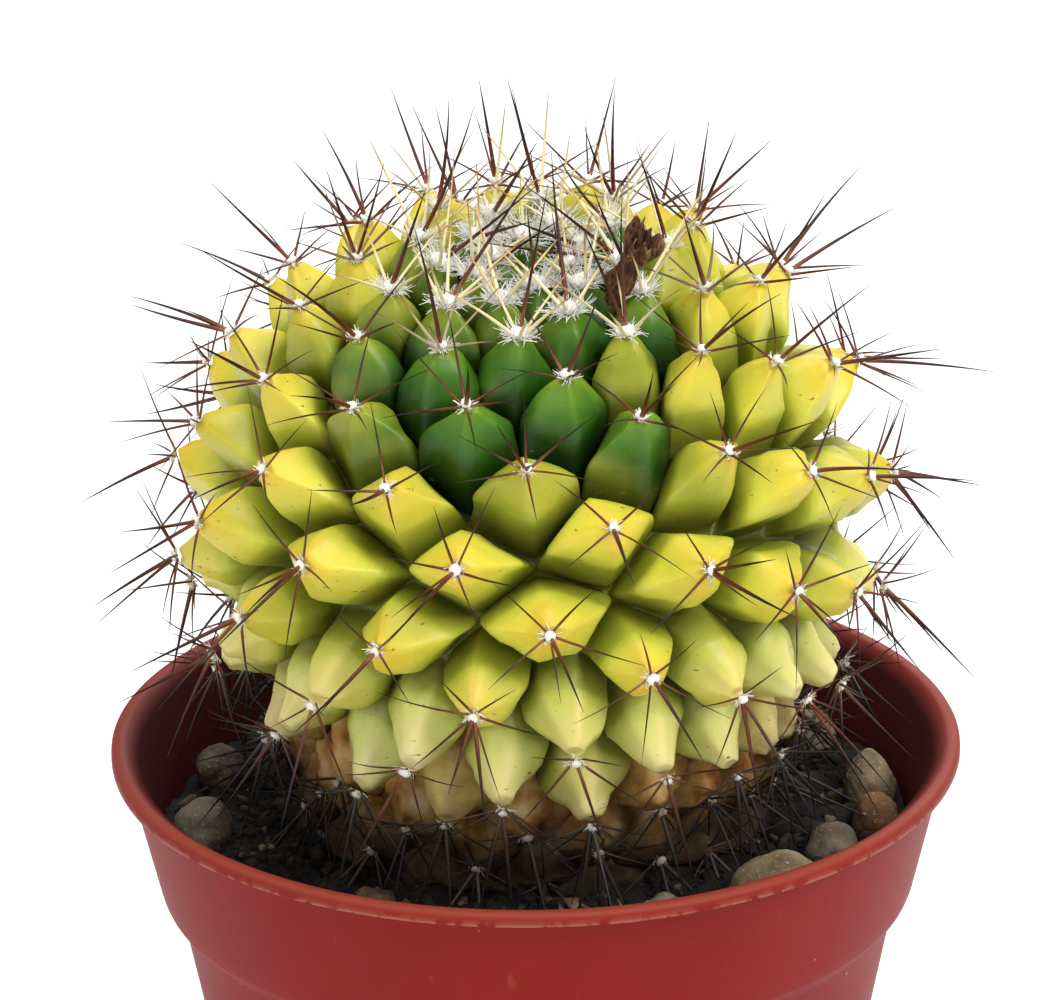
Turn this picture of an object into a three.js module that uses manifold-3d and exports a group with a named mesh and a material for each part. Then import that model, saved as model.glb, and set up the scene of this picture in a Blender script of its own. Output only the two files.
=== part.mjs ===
// A round cactus, leaning a little forwards, growing in soil with pebbles in a tapered plastic pot.
//
// Millimetres, +Z up, the front of the plant at -Y. The origin is the centre of the pot's base.
// The stem carries its tubercles (the cone-shaped swellings) in pairs. Each next pair is turned by one
// fixed angle and sits a little further from the crown, which gives the crossing spiral rows.

import * as THREE from "three";
import { ConvexHull } from "three/addons/math/ConvexHull.js";
import { mergeVertices } from "three/addons/utils/BufferGeometryUtils.js";
import Module from "manifold-3d";

// ---- Driving dimensions (millimetres and degrees) --------------------------------------------------

const GAP = 0.3; // clearance round every piece that is seated in another
const SOCKET_GAP = 0.9; // clearance between the soil and the stem rooted in it
const SEED = 4177; // of the small differences between spines and between pebbles

const POT = {
  height: 70,
  rimRadius: 42.5,
  mouthRadius: 41,
  lipHeight: 1.3,
  lipChamfer: 0.4,
  collarTopRadius: 41.1,
  collarFootRadius: 38.2,
  collarHeight: 14.5,
  stepHeight: 2.5,
  shoulderRadius: 36.3,
  baseRadius: 26.5,
  wall: 1.4,
  footHeight: 1.5,
  footWidth: 2,
  sides: 48,
};

const DRAIN = { count: 4, radius: 1.9, pitchRadius: 14, sides: 12 };

// The soil's surface rises and falls by the swell, in slow waves along X and Y and a faster oblique one.
const SOIL = {
  belowRim: 10,
  swell: 0.9,
  slow: [0.31, 0.27], // radians per millimetre along X and along Y
  fast: [0.63, 0.51],
  sides: 32,
  rings: [0.5, 0.7, 0.86, 1], // radii at which the surface is shaped, as shares of its edge
};

const STEM = {
  centre: new THREE.Vector3(0.1, -0.5, POT.height + 25.2),
  radius: 35.6, // across the tubercle tips
  upperHeight: 29.9, // crown above the centre, before the dimple
  lowerHeight: 35.05,
  roundness: 0.97, // below 1 the sides are a little fuller than an ellipsoid's
  dimpleDepth: 2.8,
  dimpleReach: 0.45, // radians from the crown
  lean: 14.2, // degrees forwards
  neckAngle: 124, // from here the stem runs straight down into the soil
  neckEase: 6,
  rootDepth: 6, // how far below the soil's surface the neck goes
  rootTurn: 2, // below this depth the neck's skin has turned to face downwards
  neckSpread: 1.6, // degrees of polar angle that a millimetre of neck stands for on the unit ball
};

const SPIRAL = { turn: 68.95, start: -1.44, firstPair: -22, lastPair: 84 };

// Angle from the crown at a pair's number: middle + swing * tanh((number - shift) / pace).
const GROWTH = { middle: 58.93, swing: 90.73, shift: 5.88, pace: 41.04, neckStep: 0.62 };

const TUBERCLE = {
  height: 9,
  crownHeight: 4,
  driedHeight: 3.6,
  buriedHeight: 0.4,
  crownReach: 26, // degrees from the crown at which the full height is reached
  driedFrom: 41, // pairs from here on are old and shrunken
  driedBy: 52,
  crownTilt: 43, // upward tilt that the slope starts from at the crown, before the limits
  tiltSlope: 0.5, // degrees of tilt lost for each degree away from the crown
  tiltLimits: [-12, 24],
  cornerFit: 0.75, // 0 puts a corner at the mean of its three feet, 1 equally far from them
  blunting: 0.35, // share of its lost height by which a dried tip draws back
  shrinkAbove: 3, // a tubercle shrinks from this height above the soil's surface
  shrinkBelow: 1, // and has shrunk away at this depth below it
};

// Rings of a tubercle between its tip and the crevice round it: share of the way out to the crevice,
// and share of the way down from the tip on a flank and on a keel.
const TUBERCLE_RINGS = [
  { out: 0.18, flank: 0.05, keel: 0.03 },
  { out: 0.82, flank: 0.52, keel: 0.38 },
];

const AREOLE = {
  pairs: 20, // the youngest pairs, whose spines are modelled
  padRadius: 0.95,
  crownPadRadius: 1.7,
  padThickness: 0.9,
  padFoot: 0.1, // height of the pad's widest ring
  padTaper: 0.7, // the pad's upper ring, as a share of its widest
  padShoulder: 0.8, // height of that upper ring, as a share of the thickness
  padSides: 5,
  rootShare: 0.35, // how deep in the pad the spines start, as a share of its thickness
  ringShare: 0.7, // where the radial spines start, as a share of the pad's radius
  crownFrom: 8, // degrees from the crown within which an areole is fully a crown areole
  crownTo: 45,
  youngest: 0.7, // size of the very youngest pads, as a share of a crown pad's
  youngTo: 14,
};

const SPINE = {
  radials: 5,
  radialLength: 6.8,
  radialBase: 0.26,
  radialRise: 30, // degrees above the tangent plane
  crownRise: 14, // how much more the radials rise at the crown
  riseSpread: 10,
  turnSpread: 40,
  lengthSpread: [0.85, 1.15],
  centralLength: 11,
  centralBase: 0.32,
  centralRise: 72,
  crownStretch: 1.25,
  sides: 3,
  spacing: 0.15,
  nudges: [0, 9, -9, 18, -18, 27, -27], // degrees that a spine may turn aside to keep clear
  nudgeRise: 0.4, // degrees that it then rises for each degree turned
};

const FLOWER = {
  azimuth: 52,
  polar: 15,
  tilt: 14,
  sunk: 1.5, // how far its foot is below the tips round it
  length: 10,
  radius: 1.5,
  widths: [0.45, 0.75, 0.95, 0.8, 1.25, 1.5, 0.7], // from foot to mouth, as shares of the radius
  twist: 0.5, // radians from foot to mouth
  crumple: 0.22,
  folds: 3,
  foldShift: 2.1,
  footPoint: 0.4,
  mouthDip: 0.8,
  sides: 7,
};

const PEBBLE = { least: 0.86, spread: 0.2, rise: 0.35 }; // roughness, and share of the height left proud

// Pebbles lying half in the soil: azimuth from the front, distance from the pot's axis, size, colour.
const PEBBLES = [
  { azimuth: -12, reach: 33.2, size: [4.4, 3.0, 3.4], colour: 0x5f4632 },
  { azimuth: 4, reach: 33.6, size: [3.8, 2.9, 3.2], colour: 0x6b4a33 },
  { azimuth: 20, reach: 33.0, size: [3.4, 3.0, 4.6], colour: 0x8a8069 },
  { azimuth: 45, reach: 32.6, size: [6.0, 3.8, 4.4], colour: 0x9a8463 },
  { azimuth: 68, reach: 31.6, size: [3.4, 2.8, 3.0], colour: 0x77664f },
  { azimuth: 84, reach: 34.2, size: [3.2, 2.6, 3.2], colour: 0x8a5a33 },
  { azimuth: 98, reach: 34.4, size: [4.2, 2.8, 3.6], colour: 0xa08a66 },
  { azimuth: 122, reach: 34.0, size: [4.0, 2.9, 3.0], colour: 0x7d7260 },
  { azimuth: 158, reach: 34.6, size: [4.4, 2.4, 3.0], colour: 0x6e6250 },
  { azimuth: 196, reach: 34.8, size: [3.6, 2.3, 2.8], colour: 0x8c7a5c },
  { azimuth: 232, reach: 34.0, size: [4.2, 2.8, 3.0], colour: 0x73553b },
  { azimuth: 252, reach: 34.2, size: [3.4, 2.6, 2.8], colour: 0x6f5a45 },
  { azimuth: 276, reach: 33.6, size: [4.6, 3.0, 3.0], colour: 0x85765e },
];

const FINISH = {
  pot: { color: 0x8f2a26, roughness: 0.45, metalness: 0 },
  soil: { color: 0x1d1812, roughness: 1, metalness: 0 },
  stem: { color: 0x6f9a22, roughness: 0.5, metalness: 0 },
  spines: { color: 0x5a3320, roughness: 0.6, metalness: 0 },
  flower: { color: 0x7a4a24, roughness: 0.9, metalness: 0 },
};

// ---- Small helpers ---------------------------------------------------------------------------------

const rad = THREE.MathUtils.degToRad;
const mix = THREE.MathUtils.lerp;
const ease = THREE.MathUtils.smoothstep;
const TURN = 2 * Math.PI;

/** A repeatable stream of numbers from 0 to 1. */
function randomStream(seed) {
  let state = seed;
  return () => {
    state = (state * 16807) % 2147483647;
    return state / 2147483647;
  };
}

/** A closed shape through rings of equally many points, closed by one point at each end. */
function loft(first, rings, last) {
  const count = rings[0].length;
  const points = [first, ...rings.flat(), last];
  const index = [];
  const at = (ring, i) => 1 + ring * count + (i % count);
  for (let i = 0; i < count; i += 1) {
    index.push(0, at(0, i + 1), at(0, i));
    for (let r = 0; r + 1 < rings.length; r += 1) {
      index.push(at(r, i), at(r, i + 1), at(r + 1, i));
      index.push(at(r, i + 1), at(r + 1, i + 1), at(r + 1, i));
    }
    index.push(points.length - 1, at(rings.length - 1, i), at(rings.length - 1, i + 1));
  }
  const geometry = new THREE.BufferGeometry().setFromPoints(points);
  geometry.setIndex(index);
  return geometry;
}

/** Right, up and outward directions as a local frame at a point. */
function frameAt(origin, outward, upHint) {
  const right = new THREE.Vector3().crossVectors(upHint, outward).normalize();
  const up = new THREE.Vector3().crossVectors(outward, right);
  return { origin, right, up, outward };
}

/** The point at (x, y, z) in a local frame. */
function place(frame, x, y, z) {
  return frame.origin.clone().addScaledVector(frame.right, x).addScaledVector(frame.up, y)
    .addScaledVector(frame.outward, z);
}

const wasm = await Module();
wasm.setup();

/** The closed body of a three.js geometry, for joining and cutting. */
function toBody(geometry) {
  const bare = geometry.clone();
  bare.deleteAttribute("normal");
  bare.deleteAttribute("uv");
  const welded = mergeVertices(bare, 1e-4);
  return new wasm.Manifold(new wasm.Mesh({
    numProp: 3,
    vertProperties: new Float32Array(welded.attributes.position.array),
    triVerts: new Uint32Array(welded.index.array),
  }));
}

/** The three.js geometry of a closed body. */
function toGeometry(body) {
  const { vertProperties, triVerts } = body.getMesh();
  const geometry = new THREE.BufferGeometry();
  geometry.setAttribute("position", new THREE.BufferAttribute(Float32Array.from(vertProperties), 3));
  geometry.setIndex(new THREE.BufferAttribute(Uint32Array.from(triVerts), 1));
  geometry.computeVertexNormals();
  return geometry;
}

/** The same geometry, larger by a margin on every side of its middle. */
function grown(geometry, margin) {
  geometry.computeBoundingBox();
  const middle = geometry.boundingBox.getCenter(new THREE.Vector3());
  const half = geometry.boundingBox.getSize(new THREE.Vector3()).multiplyScalar(0.5);
  const factor = (size) => (size + margin) / size;
  return geometry.clone().translate(-middle.x, -middle.y, -middle.z)
    .scale(factor(half.x), factor(half.y), factor(half.z)).translate(middle.x, middle.y, middle.z);
}

// ---- Pot -------------------------------------------------------------------------------------------

/** Radius of the pot's inner wall at a height. */
function innerRadius(z) {
  const collarFoot = POT.height - POT.collarHeight;
  const shoulder = collarFoot - POT.stepHeight;
  const collarTop = POT.height - POT.lipHeight;
  if (z >= collarFoot) {
    return mix(POT.collarFootRadius, POT.collarTopRadius, (z - collarFoot) / (collarTop - collarFoot))
      - POT.wall;
  }
  if (z >= shoulder) {
    return mix(POT.shoulderRadius, POT.collarFootRadius, (z - shoulder) / POT.stepHeight) - POT.wall;
  }
  return mix(POT.baseRadius, POT.shoulderRadius, z / shoulder) - POT.wall;
}

const potFloor = POT.footHeight + POT.wall;

/** The pot: foot ring, tapered wall, stepped collar and rolled lip, with drain holes in the floor. */
function makePot() {
  const collarFoot = POT.height - POT.collarHeight;
  const shoulder = collarFoot - POT.stepHeight;
  const collarTop = POT.height - POT.lipHeight;
  const profile = [
    [0, POT.footHeight],
    [POT.baseRadius - POT.footWidth, POT.footHeight],
    [POT.baseRadius - POT.footWidth, 0],
    [POT.baseRadius, 0],
    [POT.shoulderRadius, shoulder],
    [POT.collarFootRadius, collarFoot],
    [POT.collarTopRadius, collarTop],
    [POT.rimRadius, collarTop],
    [POT.rimRadius, POT.height - POT.lipChamfer],
    [POT.rimRadius - POT.lipChamfer, POT.height],
    [POT.mouthRadius, POT.height],
    [innerRadius(collarTop), collarTop],
    [innerRadius(collarFoot), collarFoot],
    [innerRadius(shoulder), shoulder],
    [innerRadius(potFloor), potFloor],
    [0, potFloor],
  ].map(([radius, z]) => new THREE.Vector2(radius, z));
  let body = toBody(new THREE.LatheGeometry(profile, POT.sides).rotateX(Math.PI / 2));
  for (let i = 0; i < DRAIN.count; i += 1) {
    const angle = (TURN * (i + 0.5)) / DRAIN.count;
    const hole = new THREE.CylinderGeometry(DRAIN.radius, DRAIN.radius, 4 * POT.wall, DRAIN.sides)
      .rotateX(Math.PI / 2)
      .translate(DRAIN.pitchRadius * Math.cos(angle), DRAIN.pitchRadius * Math.sin(angle), potFloor);
    body = body.subtract(toBody(hole));
  }
  return body;
}

// ---- Stem ------------------------------------------------------------------------------------------

const leanSine = Math.sin(rad(STEM.lean));
const leanCosine = Math.cos(rad(STEM.lean));

/** A direction or offset in the upright stem, leaned forwards. */
function leaned(x, y, z) {
  return new THREE.Vector3(x, y * leanCosine - z * leanSine, y * leanSine + z * leanCosine);
}

const surfaceZ = POT.height - SOIL.belowRim;

/**
 * A place on the surface through the tubercle tips.
 * polar is the angle from the crown, azimuth the angle round it from the front (both in degrees),
 * and drop the extra way down the neck once polar has reached the neck's angle.
 */
function tipSurface(polar, azimuth, drop = 0) {
  const t = rad(polar);
  const around = rad(azimuth - 90);
  const height = polar < 90 ? STEM.upperHeight : STEM.lowerHeight;
  const dimple = STEM.dimpleDepth * Math.exp(-((t / STEM.dimpleReach) ** 2));
  const reach = STEM.radius * Math.sin(t) ** STEM.roundness;
  const point = leaned(
    reach * Math.cos(around), reach * Math.sin(around), height * Math.cos(t) - dimple,
  ).add(STEM.centre);
  const outward = leaned(
    (Math.sin(t) * Math.cos(around)) / STEM.radius,
    (Math.sin(t) * Math.sin(around)) / STEM.radius,
    Math.cos(t) / height,
  ).normalize();
  const downward = leaned(
    STEM.radius * Math.cos(t) * Math.cos(around),
    STEM.radius * Math.cos(t) * Math.sin(around),
    -height * Math.sin(t),
  ).normalize();
  if (drop > 0) {
    const along = STEM.neckEase * (1 - Math.exp(-drop / STEM.neckEase));
    point.addScaledVector(downward, along);
    point.z -= drop - along;
    const level = new THREE.Vector3(outward.x, outward.y, 0).normalize();
    outward.lerp(level, 1 - Math.exp(-drop / STEM.neckEase)).normalize();
    downward.lerp(new THREE.Vector3(0, 0, -1), 1 - Math.exp(-drop / STEM.neckEase)).normalize();
  }
  return { point, outward, downward };
}

const neckPair = GROWTH.shift
  + GROWTH.pace * Math.atanh((STEM.neckAngle - GROWTH.middle) / GROWTH.swing);

/** Tubercle number `half` (0 or 1) of a pair: its tip, directions, height and place on a unit ball. */
function tubercle(pair, half) {
  const polar = Math.min(
    STEM.neckAngle,
    GROWTH.middle + GROWTH.swing * Math.tanh((pair - GROWTH.shift) / GROWTH.pace),
  );
  const drop = Math.max(0, pair - neckPair) * GROWTH.neckStep;
  const azimuth = SPIRAL.start - pair * SPIRAL.turn + half * 180;
  const { point, outward, downward } = tipSurface(polar, azimuth, drop);
  const dried = ease(pair, TUBERCLE.driedFrom, TUBERCLE.driedBy);
  const fresh = mix(TUBERCLE.crownHeight, TUBERCLE.height, ease(polar, 0, TUBERCLE.crownReach));
  const buried = 1 - ease(point.z, surfaceZ - TUBERCLE.shrinkBelow, surfaceZ + TUBERCLE.shrinkAbove);
  outward.z -= 1 - ease(point.z, surfaceZ - STEM.rootDepth, surfaceZ - STEM.rootTurn);
  outward.normalize();
  const height = mix(mix(fresh, TUBERCLE.driedHeight, dried), TUBERCLE.buriedHeight, buried);
  const slope = TUBERCLE.crownTilt - TUBERCLE.tiltSlope * polar;
  const tilt = rad(THREE.MathUtils.clamp(slope, ...TUBERCLE.tiltLimits));
  const axis = outward.clone().multiplyScalar(Math.cos(tilt)).addScaledVector(downward, -Math.sin(tilt));
  const sunk = Math.max(dried, buried) * (TUBERCLE.height - height) * TUBERCLE.blunting;
  const frame = frameAt(point.addScaledVector(outward, -sunk), outward, downward.negate());
  const spread = rad(polar + STEM.neckSpread * drop);
  const around = rad(azimuth - 90);
  const ball = new THREE.Vector3(
    Math.sin(spread) * Math.cos(around), Math.sin(spread) * Math.sin(around), Math.cos(spread),
  );
  return { polar, height, axis, frame, ball };
}

/** Every tubercle down to the root's depth, the youngest first. */
function allTubercles() {
  const list = [];
  for (let pair = SPIRAL.firstPair; pair <= SPIRAL.lastPair; pair += 1) {
    list.push(tubercle(pair, 0), tubercle(pair, 1));
  }
  return list.filter(({ frame }) => frame.origin.z > surfaceZ - STEM.rootDepth);
}

/** The sets of three tubercles that meet in a corner of the crevices between them. */
function meetings(tubercles) {
  const numbers = new Map(tubercles.map(({ ball }, i) => [ball, i]));
  const hull = new ConvexHull().setFromPoints([...numbers.keys()]);
  return hull.faces.map(({ edge }) => (
    [edge.prev, edge, edge.next].map((side) => numbers.get(side.head().point))
  ));
}

/** Shares of three tubercles' feet in the corner where they meet, so that it is about equally far from each. */
function cornerShares(feet) {
  const squares = feet.map((_, i) => feet[(i + 1) % 3].distanceToSquared(feet[(i + 2) % 3]));
  const total = squares[0] + squares[1] + squares[2];
  const pulls = squares.map((square) => Math.max(0, square * (total - 2 * square)));
  const sum = pulls[0] + pulls[1] + pulls[2];
  return pulls.map((pull) => mix(1 / 3, pull / sum, TUBERCLE.cornerFit));
}

/** The corners round one tubercle, in order anticlockwise as seen from outside. */
function fanAround(number, corners) {
  const fan = corners.flatMap((three, corner) => {
    const own = three.indexOf(number);
    return own < 0 ? [] : [{ corner, from: three[(own + 1) % 3], to: three[(own + 2) % 3] }];
  });
  const ordered = [fan[0]];
  while (ordered.length < fan.length) {
    const last = ordered[ordered.length - 1];
    ordered.push(fan.find(({ from }) => from === last.to));
  }
  return ordered.map(({ corner }) => corner);
}

/**
 * The stem as one closed skin: a corner point wherever three tubercles meet, and over every cell
 * between corners a tubercle that rises through its rings to its tip.
 * margin moves the whole skin outwards.
 */
function makeStem(tubercles, margin = 0) {
  const corners = meetings(tubercles);
  const points = corners.map((three) => {
    const feet = three.map((i) => {
      const { frame, axis, height } = tubercles[i];
      return frame.origin.clone().addScaledVector(axis, -height);
    });
    const shares = cornerShares(feet);
    return three.reduce((sum, i, k) => sum.addScaledVector(feet[k], shares[k])
      .addScaledVector(tubercles[i].frame.outward, margin * shares[k]), new THREE.Vector3());
  });
  const index = [];
  tubercles.forEach(({ frame, axis }, number) => {
    const tip = frame.origin.clone().addScaledVector(frame.outward, margin);
    const spokes = fanAround(number, corners).map((corner) => {
      const towards = points[corner].clone().sub(tip);
      const fall = towards.dot(axis);
      const sideways = towards.addScaledVector(axis, -fall);
      const angle = Math.atan2(sideways.dot(frame.up), sideways.dot(frame.right));
      return { corner, fall, sideways, angle };
    });
    const first = points.length;
    const count = spokes.length;
    points.push(tip);
    TUBERCLE_RINGS.forEach(({ out, flank, keel }) => spokes.forEach(({ fall, sideways, angle }) => {
      const down = mix(flank, keel, Math.sin(angle) ** 4);
      points.push(tip.clone().addScaledVector(sideways, out).addScaledVector(axis, down * fall));
    }));
    const at = (ring, i) => (ring < TUBERCLE_RINGS.length
      ? first + 1 + ring * count + (i % count) : spokes[i % count].corner);
    spokes.forEach((_, i) => {
      index.push(first, at(0, i), at(0, i + 1));
      TUBERCLE_RINGS.forEach((__, ring) => {
        index.push(at(ring, i), at(ring + 1, i), at(ring + 1, i + 1));
        index.push(at(ring, i), at(ring + 1, i + 1), at(ring, i + 1));
      });
    });
  });
  const geometry = new THREE.BufferGeometry().setFromPoints(points);
  geometry.setIndex(index);
  return toBody(geometry);
}

// ---- Spines ----------------------------------------------------------------------------------------

/** A straight spine from a point along a direction: a slender pyramid. */
function makeSpine(from, direction, side, length, baseRadius) {
  const frame = frameAt(from, direction, side);
  const base = Array.from({ length: SPINE.sides }, (_, i) => {
    const angle = (TURN * i) / SPINE.sides;
    return place(frame, baseRadius * Math.cos(angle), baseRadius * Math.sin(angle), 0);
  });
  return loft(from, [base], place(frame, 0, 0, length));
}

/** The shortest distance between two straight stretches, found by sampling both. */
function distanceBetween(a, b) {
  const steps = 12;
  let nearest = Infinity;
  const line = new THREE.Line3(b.from, b.to);
  const closest = new THREE.Vector3();
  for (let i = 0; i <= steps; i += 1) {
    const point = a.from.clone().lerp(a.to, i / steps);
    line.closestPointToPoint(point, true, closest);
    nearest = Math.min(nearest, point.distanceTo(closest));
  }
  return nearest;
}

/** A felt pad with its radial spines and one central spine, as one body clear of all that is there. */
function makeAreole(own, random, taken, obstacles) {
  const crown = 1 - ease(own.polar, AREOLE.crownFrom, AREOLE.crownTo);
  const newest = mix(AREOLE.youngest, 1, ease(own.polar, 0, AREOLE.youngTo));
  const padRadius = mix(AREOLE.padRadius, AREOLE.crownPadRadius, crown) * newest;
  const seat = frameAt(own.frame.origin.clone().addScaledVector(own.axis, GAP), own.axis, own.frame.up);
  const padRing = (radius, z) => Array.from({ length: AREOLE.padSides }, (_, i) => {
    const angle = (TURN * i) / AREOLE.padSides;
    return place(seat, radius * Math.cos(angle), radius * Math.sin(angle), z);
  });
  const pad = loft(
    place(seat, 0, 0, 0),
    [
      padRing(padRadius, AREOLE.padFoot),
      padRing(padRadius * AREOLE.padTaper, AREOLE.padThickness * AREOLE.padShoulder),
    ],
    place(seat, 0, 0, AREOLE.padThickness),
  );
  let body = toBody(pad).subtract(obstacles);
  const stretch = mix(1, SPINE.crownStretch, crown);
  const offset = SPINE.turnSpread * (random() - 0.5);
  const wishes = Array.from({ length: SPINE.radials + 1 }, (_, i) => {
    const central = i === 0;
    return {
      central,
      around: central ? 90 : offset + 90 + (360 * (i - 0.5)) / SPINE.radials,
      rise: central ? SPINE.centralRise
        : SPINE.radialRise + SPINE.crownRise * crown + SPINE.riseSpread * (random() - 0.5),
      length: (central ? SPINE.centralLength : SPINE.radialLength) * stretch
        * mix(...SPINE.lengthSpread, random()),
      base: central ? SPINE.centralBase : SPINE.radialBase,
    };
  });
  const mine = [];
  for (const wish of wishes) {
    for (const nudge of SPINE.nudges) {
      const around = rad(wish.around + nudge);
      const rise = rad(wish.rise + Math.abs(nudge) * SPINE.nudgeRise);
      const direction = seat.right.clone().multiplyScalar(Math.cos(around) * Math.cos(rise))
        .addScaledVector(seat.up, Math.sin(around) * Math.cos(rise))
        .addScaledVector(seat.outward, Math.sin(rise));
      const away = wish.central ? 0 : AREOLE.ringShare * padRadius;
      const depth = AREOLE.rootShare * AREOLE.padThickness;
      const from = place(seat, away * Math.cos(around), away * Math.sin(around), depth);
      const reach = { from, to: from.clone().addScaledVector(direction, wish.length) };
      const room = 2 * SPINE.centralBase + SPINE.spacing;
      if (taken.some((other) => distanceBetween(reach, other) < room)) continue;
      const spine = toBody(makeSpine(from, direction, seat.outward, wish.length, wish.base));
      if (spine.intersect(obstacles).volume() > 0) continue;
      body = body.add(spine);
      mine.push(reach);
      break;
    }
  }
  taken.push(...mine);
  return body;
}

// ---- Withered flower, soil and pebbles --------------------------------------------------------------

/** The withered flower: a shrivelled tube that flares and twists, standing between crown tubercles. */
function makeFlower() {
  const { point, outward } = tipSurface(FLOWER.polar, FLOWER.azimuth);
  const tilt = rad(FLOWER.tilt);
  const side = new THREE.Vector3(1, 0, 0);
  const axis = outward.clone().multiplyScalar(Math.cos(tilt)).addScaledVector(side, Math.sin(tilt))
    .normalize();
  const frame = frameAt(point.addScaledVector(outward, -FLOWER.sunk), axis, new THREE.Vector3(0, 1, 0));
  const rings = FLOWER.widths.map((width, r) => Array.from({ length: FLOWER.sides }, (_, i) => {
    const share = r / (FLOWER.widths.length - 1);
    const angle = (TURN * i) / FLOWER.sides + FLOWER.twist * share;
    const crumple = 1 + FLOWER.crumple * Math.sin(FLOWER.folds * angle + FLOWER.foldShift * r);
    const radius = FLOWER.radius * width * crumple;
    return place(frame, radius * Math.cos(angle), radius * Math.sin(angle), share * FLOWER.length);
  }));
  return loft(
    place(frame, 0, 0, -FLOWER.footPoint), rings, place(frame, 0, 0, FLOWER.length - FLOWER.mouthDip),
  );
}

/** Height of the soil's uneven surface at a place. */
function soilHeight(x, y) {
  const slow = Math.sin(SOIL.slow[0] * x + 1.1) * Math.cos(SOIL.slow[1] * y - 0.4);
  const fast = Math.sin(SOIL.fast[0] * x - SOIL.fast[1] * y) / 2;
  return surfaceZ + SOIL.swell * (slow + fast);
}

/** The soil: fills the pot up to its uneven surface. */
function makeSoil() {
  const ringAt = (radius, height) => Array.from({ length: SOIL.sides }, (_, i) => {
    const angle = (TURN * i) / SOIL.sides;
    const x = radius * Math.cos(angle);
    const y = radius * Math.sin(angle);
    return new THREE.Vector3(x, y, height ?? soilHeight(x, y));
  });
  const sideLevels = [potFloor + GAP, POT.height - POT.collarHeight - POT.stepHeight,
    POT.height - POT.collarHeight];
  const sides = sideLevels.map((z) => ringAt(innerRadius(z) - 2 * GAP, z));
  const edge = innerRadius(surfaceZ - SOIL.swell) - 2 * GAP;
  const top = [...SOIL.rings].reverse().map((share) => ringAt(edge * share));
  return toBody(loft(
    new THREE.Vector3(0, 0, sideLevels[0]), [...sides, ...top], new THREE.Vector3(0, 0, surfaceZ),
  ));
}

/** A pebble: a roughened ball squashed to size, turned to face its place on the soil. */
function makePebble({ azimuth, reach, size }, random) {
  const geometry = mergeVertices(new THREE.IcosahedronGeometry(1, 1).deleteAttribute("normal")
    .deleteAttribute("uv"), 1e-4);
  const position = geometry.attributes.position;
  for (let i = 0; i < position.count; i += 1) {
    const rough = PEBBLE.least + PEBBLE.spread * random();
    position.setXYZ(i, position.getX(i) * rough, position.getY(i) * rough, position.getZ(i) * rough);
  }
  const angle = rad(azimuth);
  const x = reach * Math.sin(angle);
  const y = -reach * Math.cos(angle);
  return geometry.scale(...size).rotateZ(angle).translate(x, y, soilHeight(x, y) + PEBBLE.rise * size[2]);
}

// ---- The whole plant -------------------------------------------------------------------------------

const group = new THREE.Group();
group.name = "potted_round_cactus";

/** Adds a named mesh with its own material. */
function addMesh(name, geometry, finish) {
  const mesh = new THREE.Mesh(geometry, new THREE.MeshStandardMaterial(finish));
  mesh.name = name;
  group.add(mesh);
}

const random = randomStream(SEED);
const tubercles = allTubercles();
const flower = makeFlower();
const stem = makeStem(tubercles).subtract(toBody(grown(flower, GAP)));
const pebbles = PEBBLES.map((pebble) => makePebble(pebble, random));
const soil = pebbles.reduce(
  (body, pebble) => body.subtract(toBody(grown(pebble, GAP))),
  makeSoil().subtract(toBody(grown(toGeometry(makeStem(tubercles, SOCKET_GAP)), SOCKET_GAP))),
);

addMesh("pot", toGeometry(makePot()), FINISH.pot);
addMesh("soil", toGeometry(soil), FINISH.soil);
addMesh("stem", toGeometry(stem), FINISH.stem);
addMesh("withered_flower", toGeometry(toBody(flower)), FINISH.flower);
pebbles.forEach((pebble, i) => {
  const name = `pebble_${String(i + 1).padStart(2, "0")}`;
  addMesh(name, toGeometry(toBody(pebble)), { color: PEBBLES[i].colour, roughness: 0.9, metalness: 0 });
});

const obstacles = stem.add(toBody(grown(flower, GAP)));
const taken = [];
tubercles.slice(0, 2 * AREOLE.pairs).forEach((own, i) => {
  const name = `areole_spines_${String(i + 1).padStart(2, "0")}`;
  addMesh(name, toGeometry(makeAreole(own, random, taken, obstacles)), FINISH.spines);
});

export default group;
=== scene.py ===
"""A round cactus in a nursery pot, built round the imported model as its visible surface.

The stem's tubercles stand in pairs. Each pair is turned by one fixed angle from the last and sits a little
further from the crown, so one growth law places every tubercle, areole, spine and tuft of wool. Geometry
Nodes trees grow what is too many to shape by hand: the skin of tubercles, the spines, the wool and felt,
and the grit on the soil. Lengths are in metres; sizes are written in millimetres times MM.
"""

from __future__ import annotations

import logging
import math
import random
import sys
from dataclasses import dataclass, field
from enum import Enum

import bmesh
import bpy
from mathutils import Matrix, Vector, noise

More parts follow.
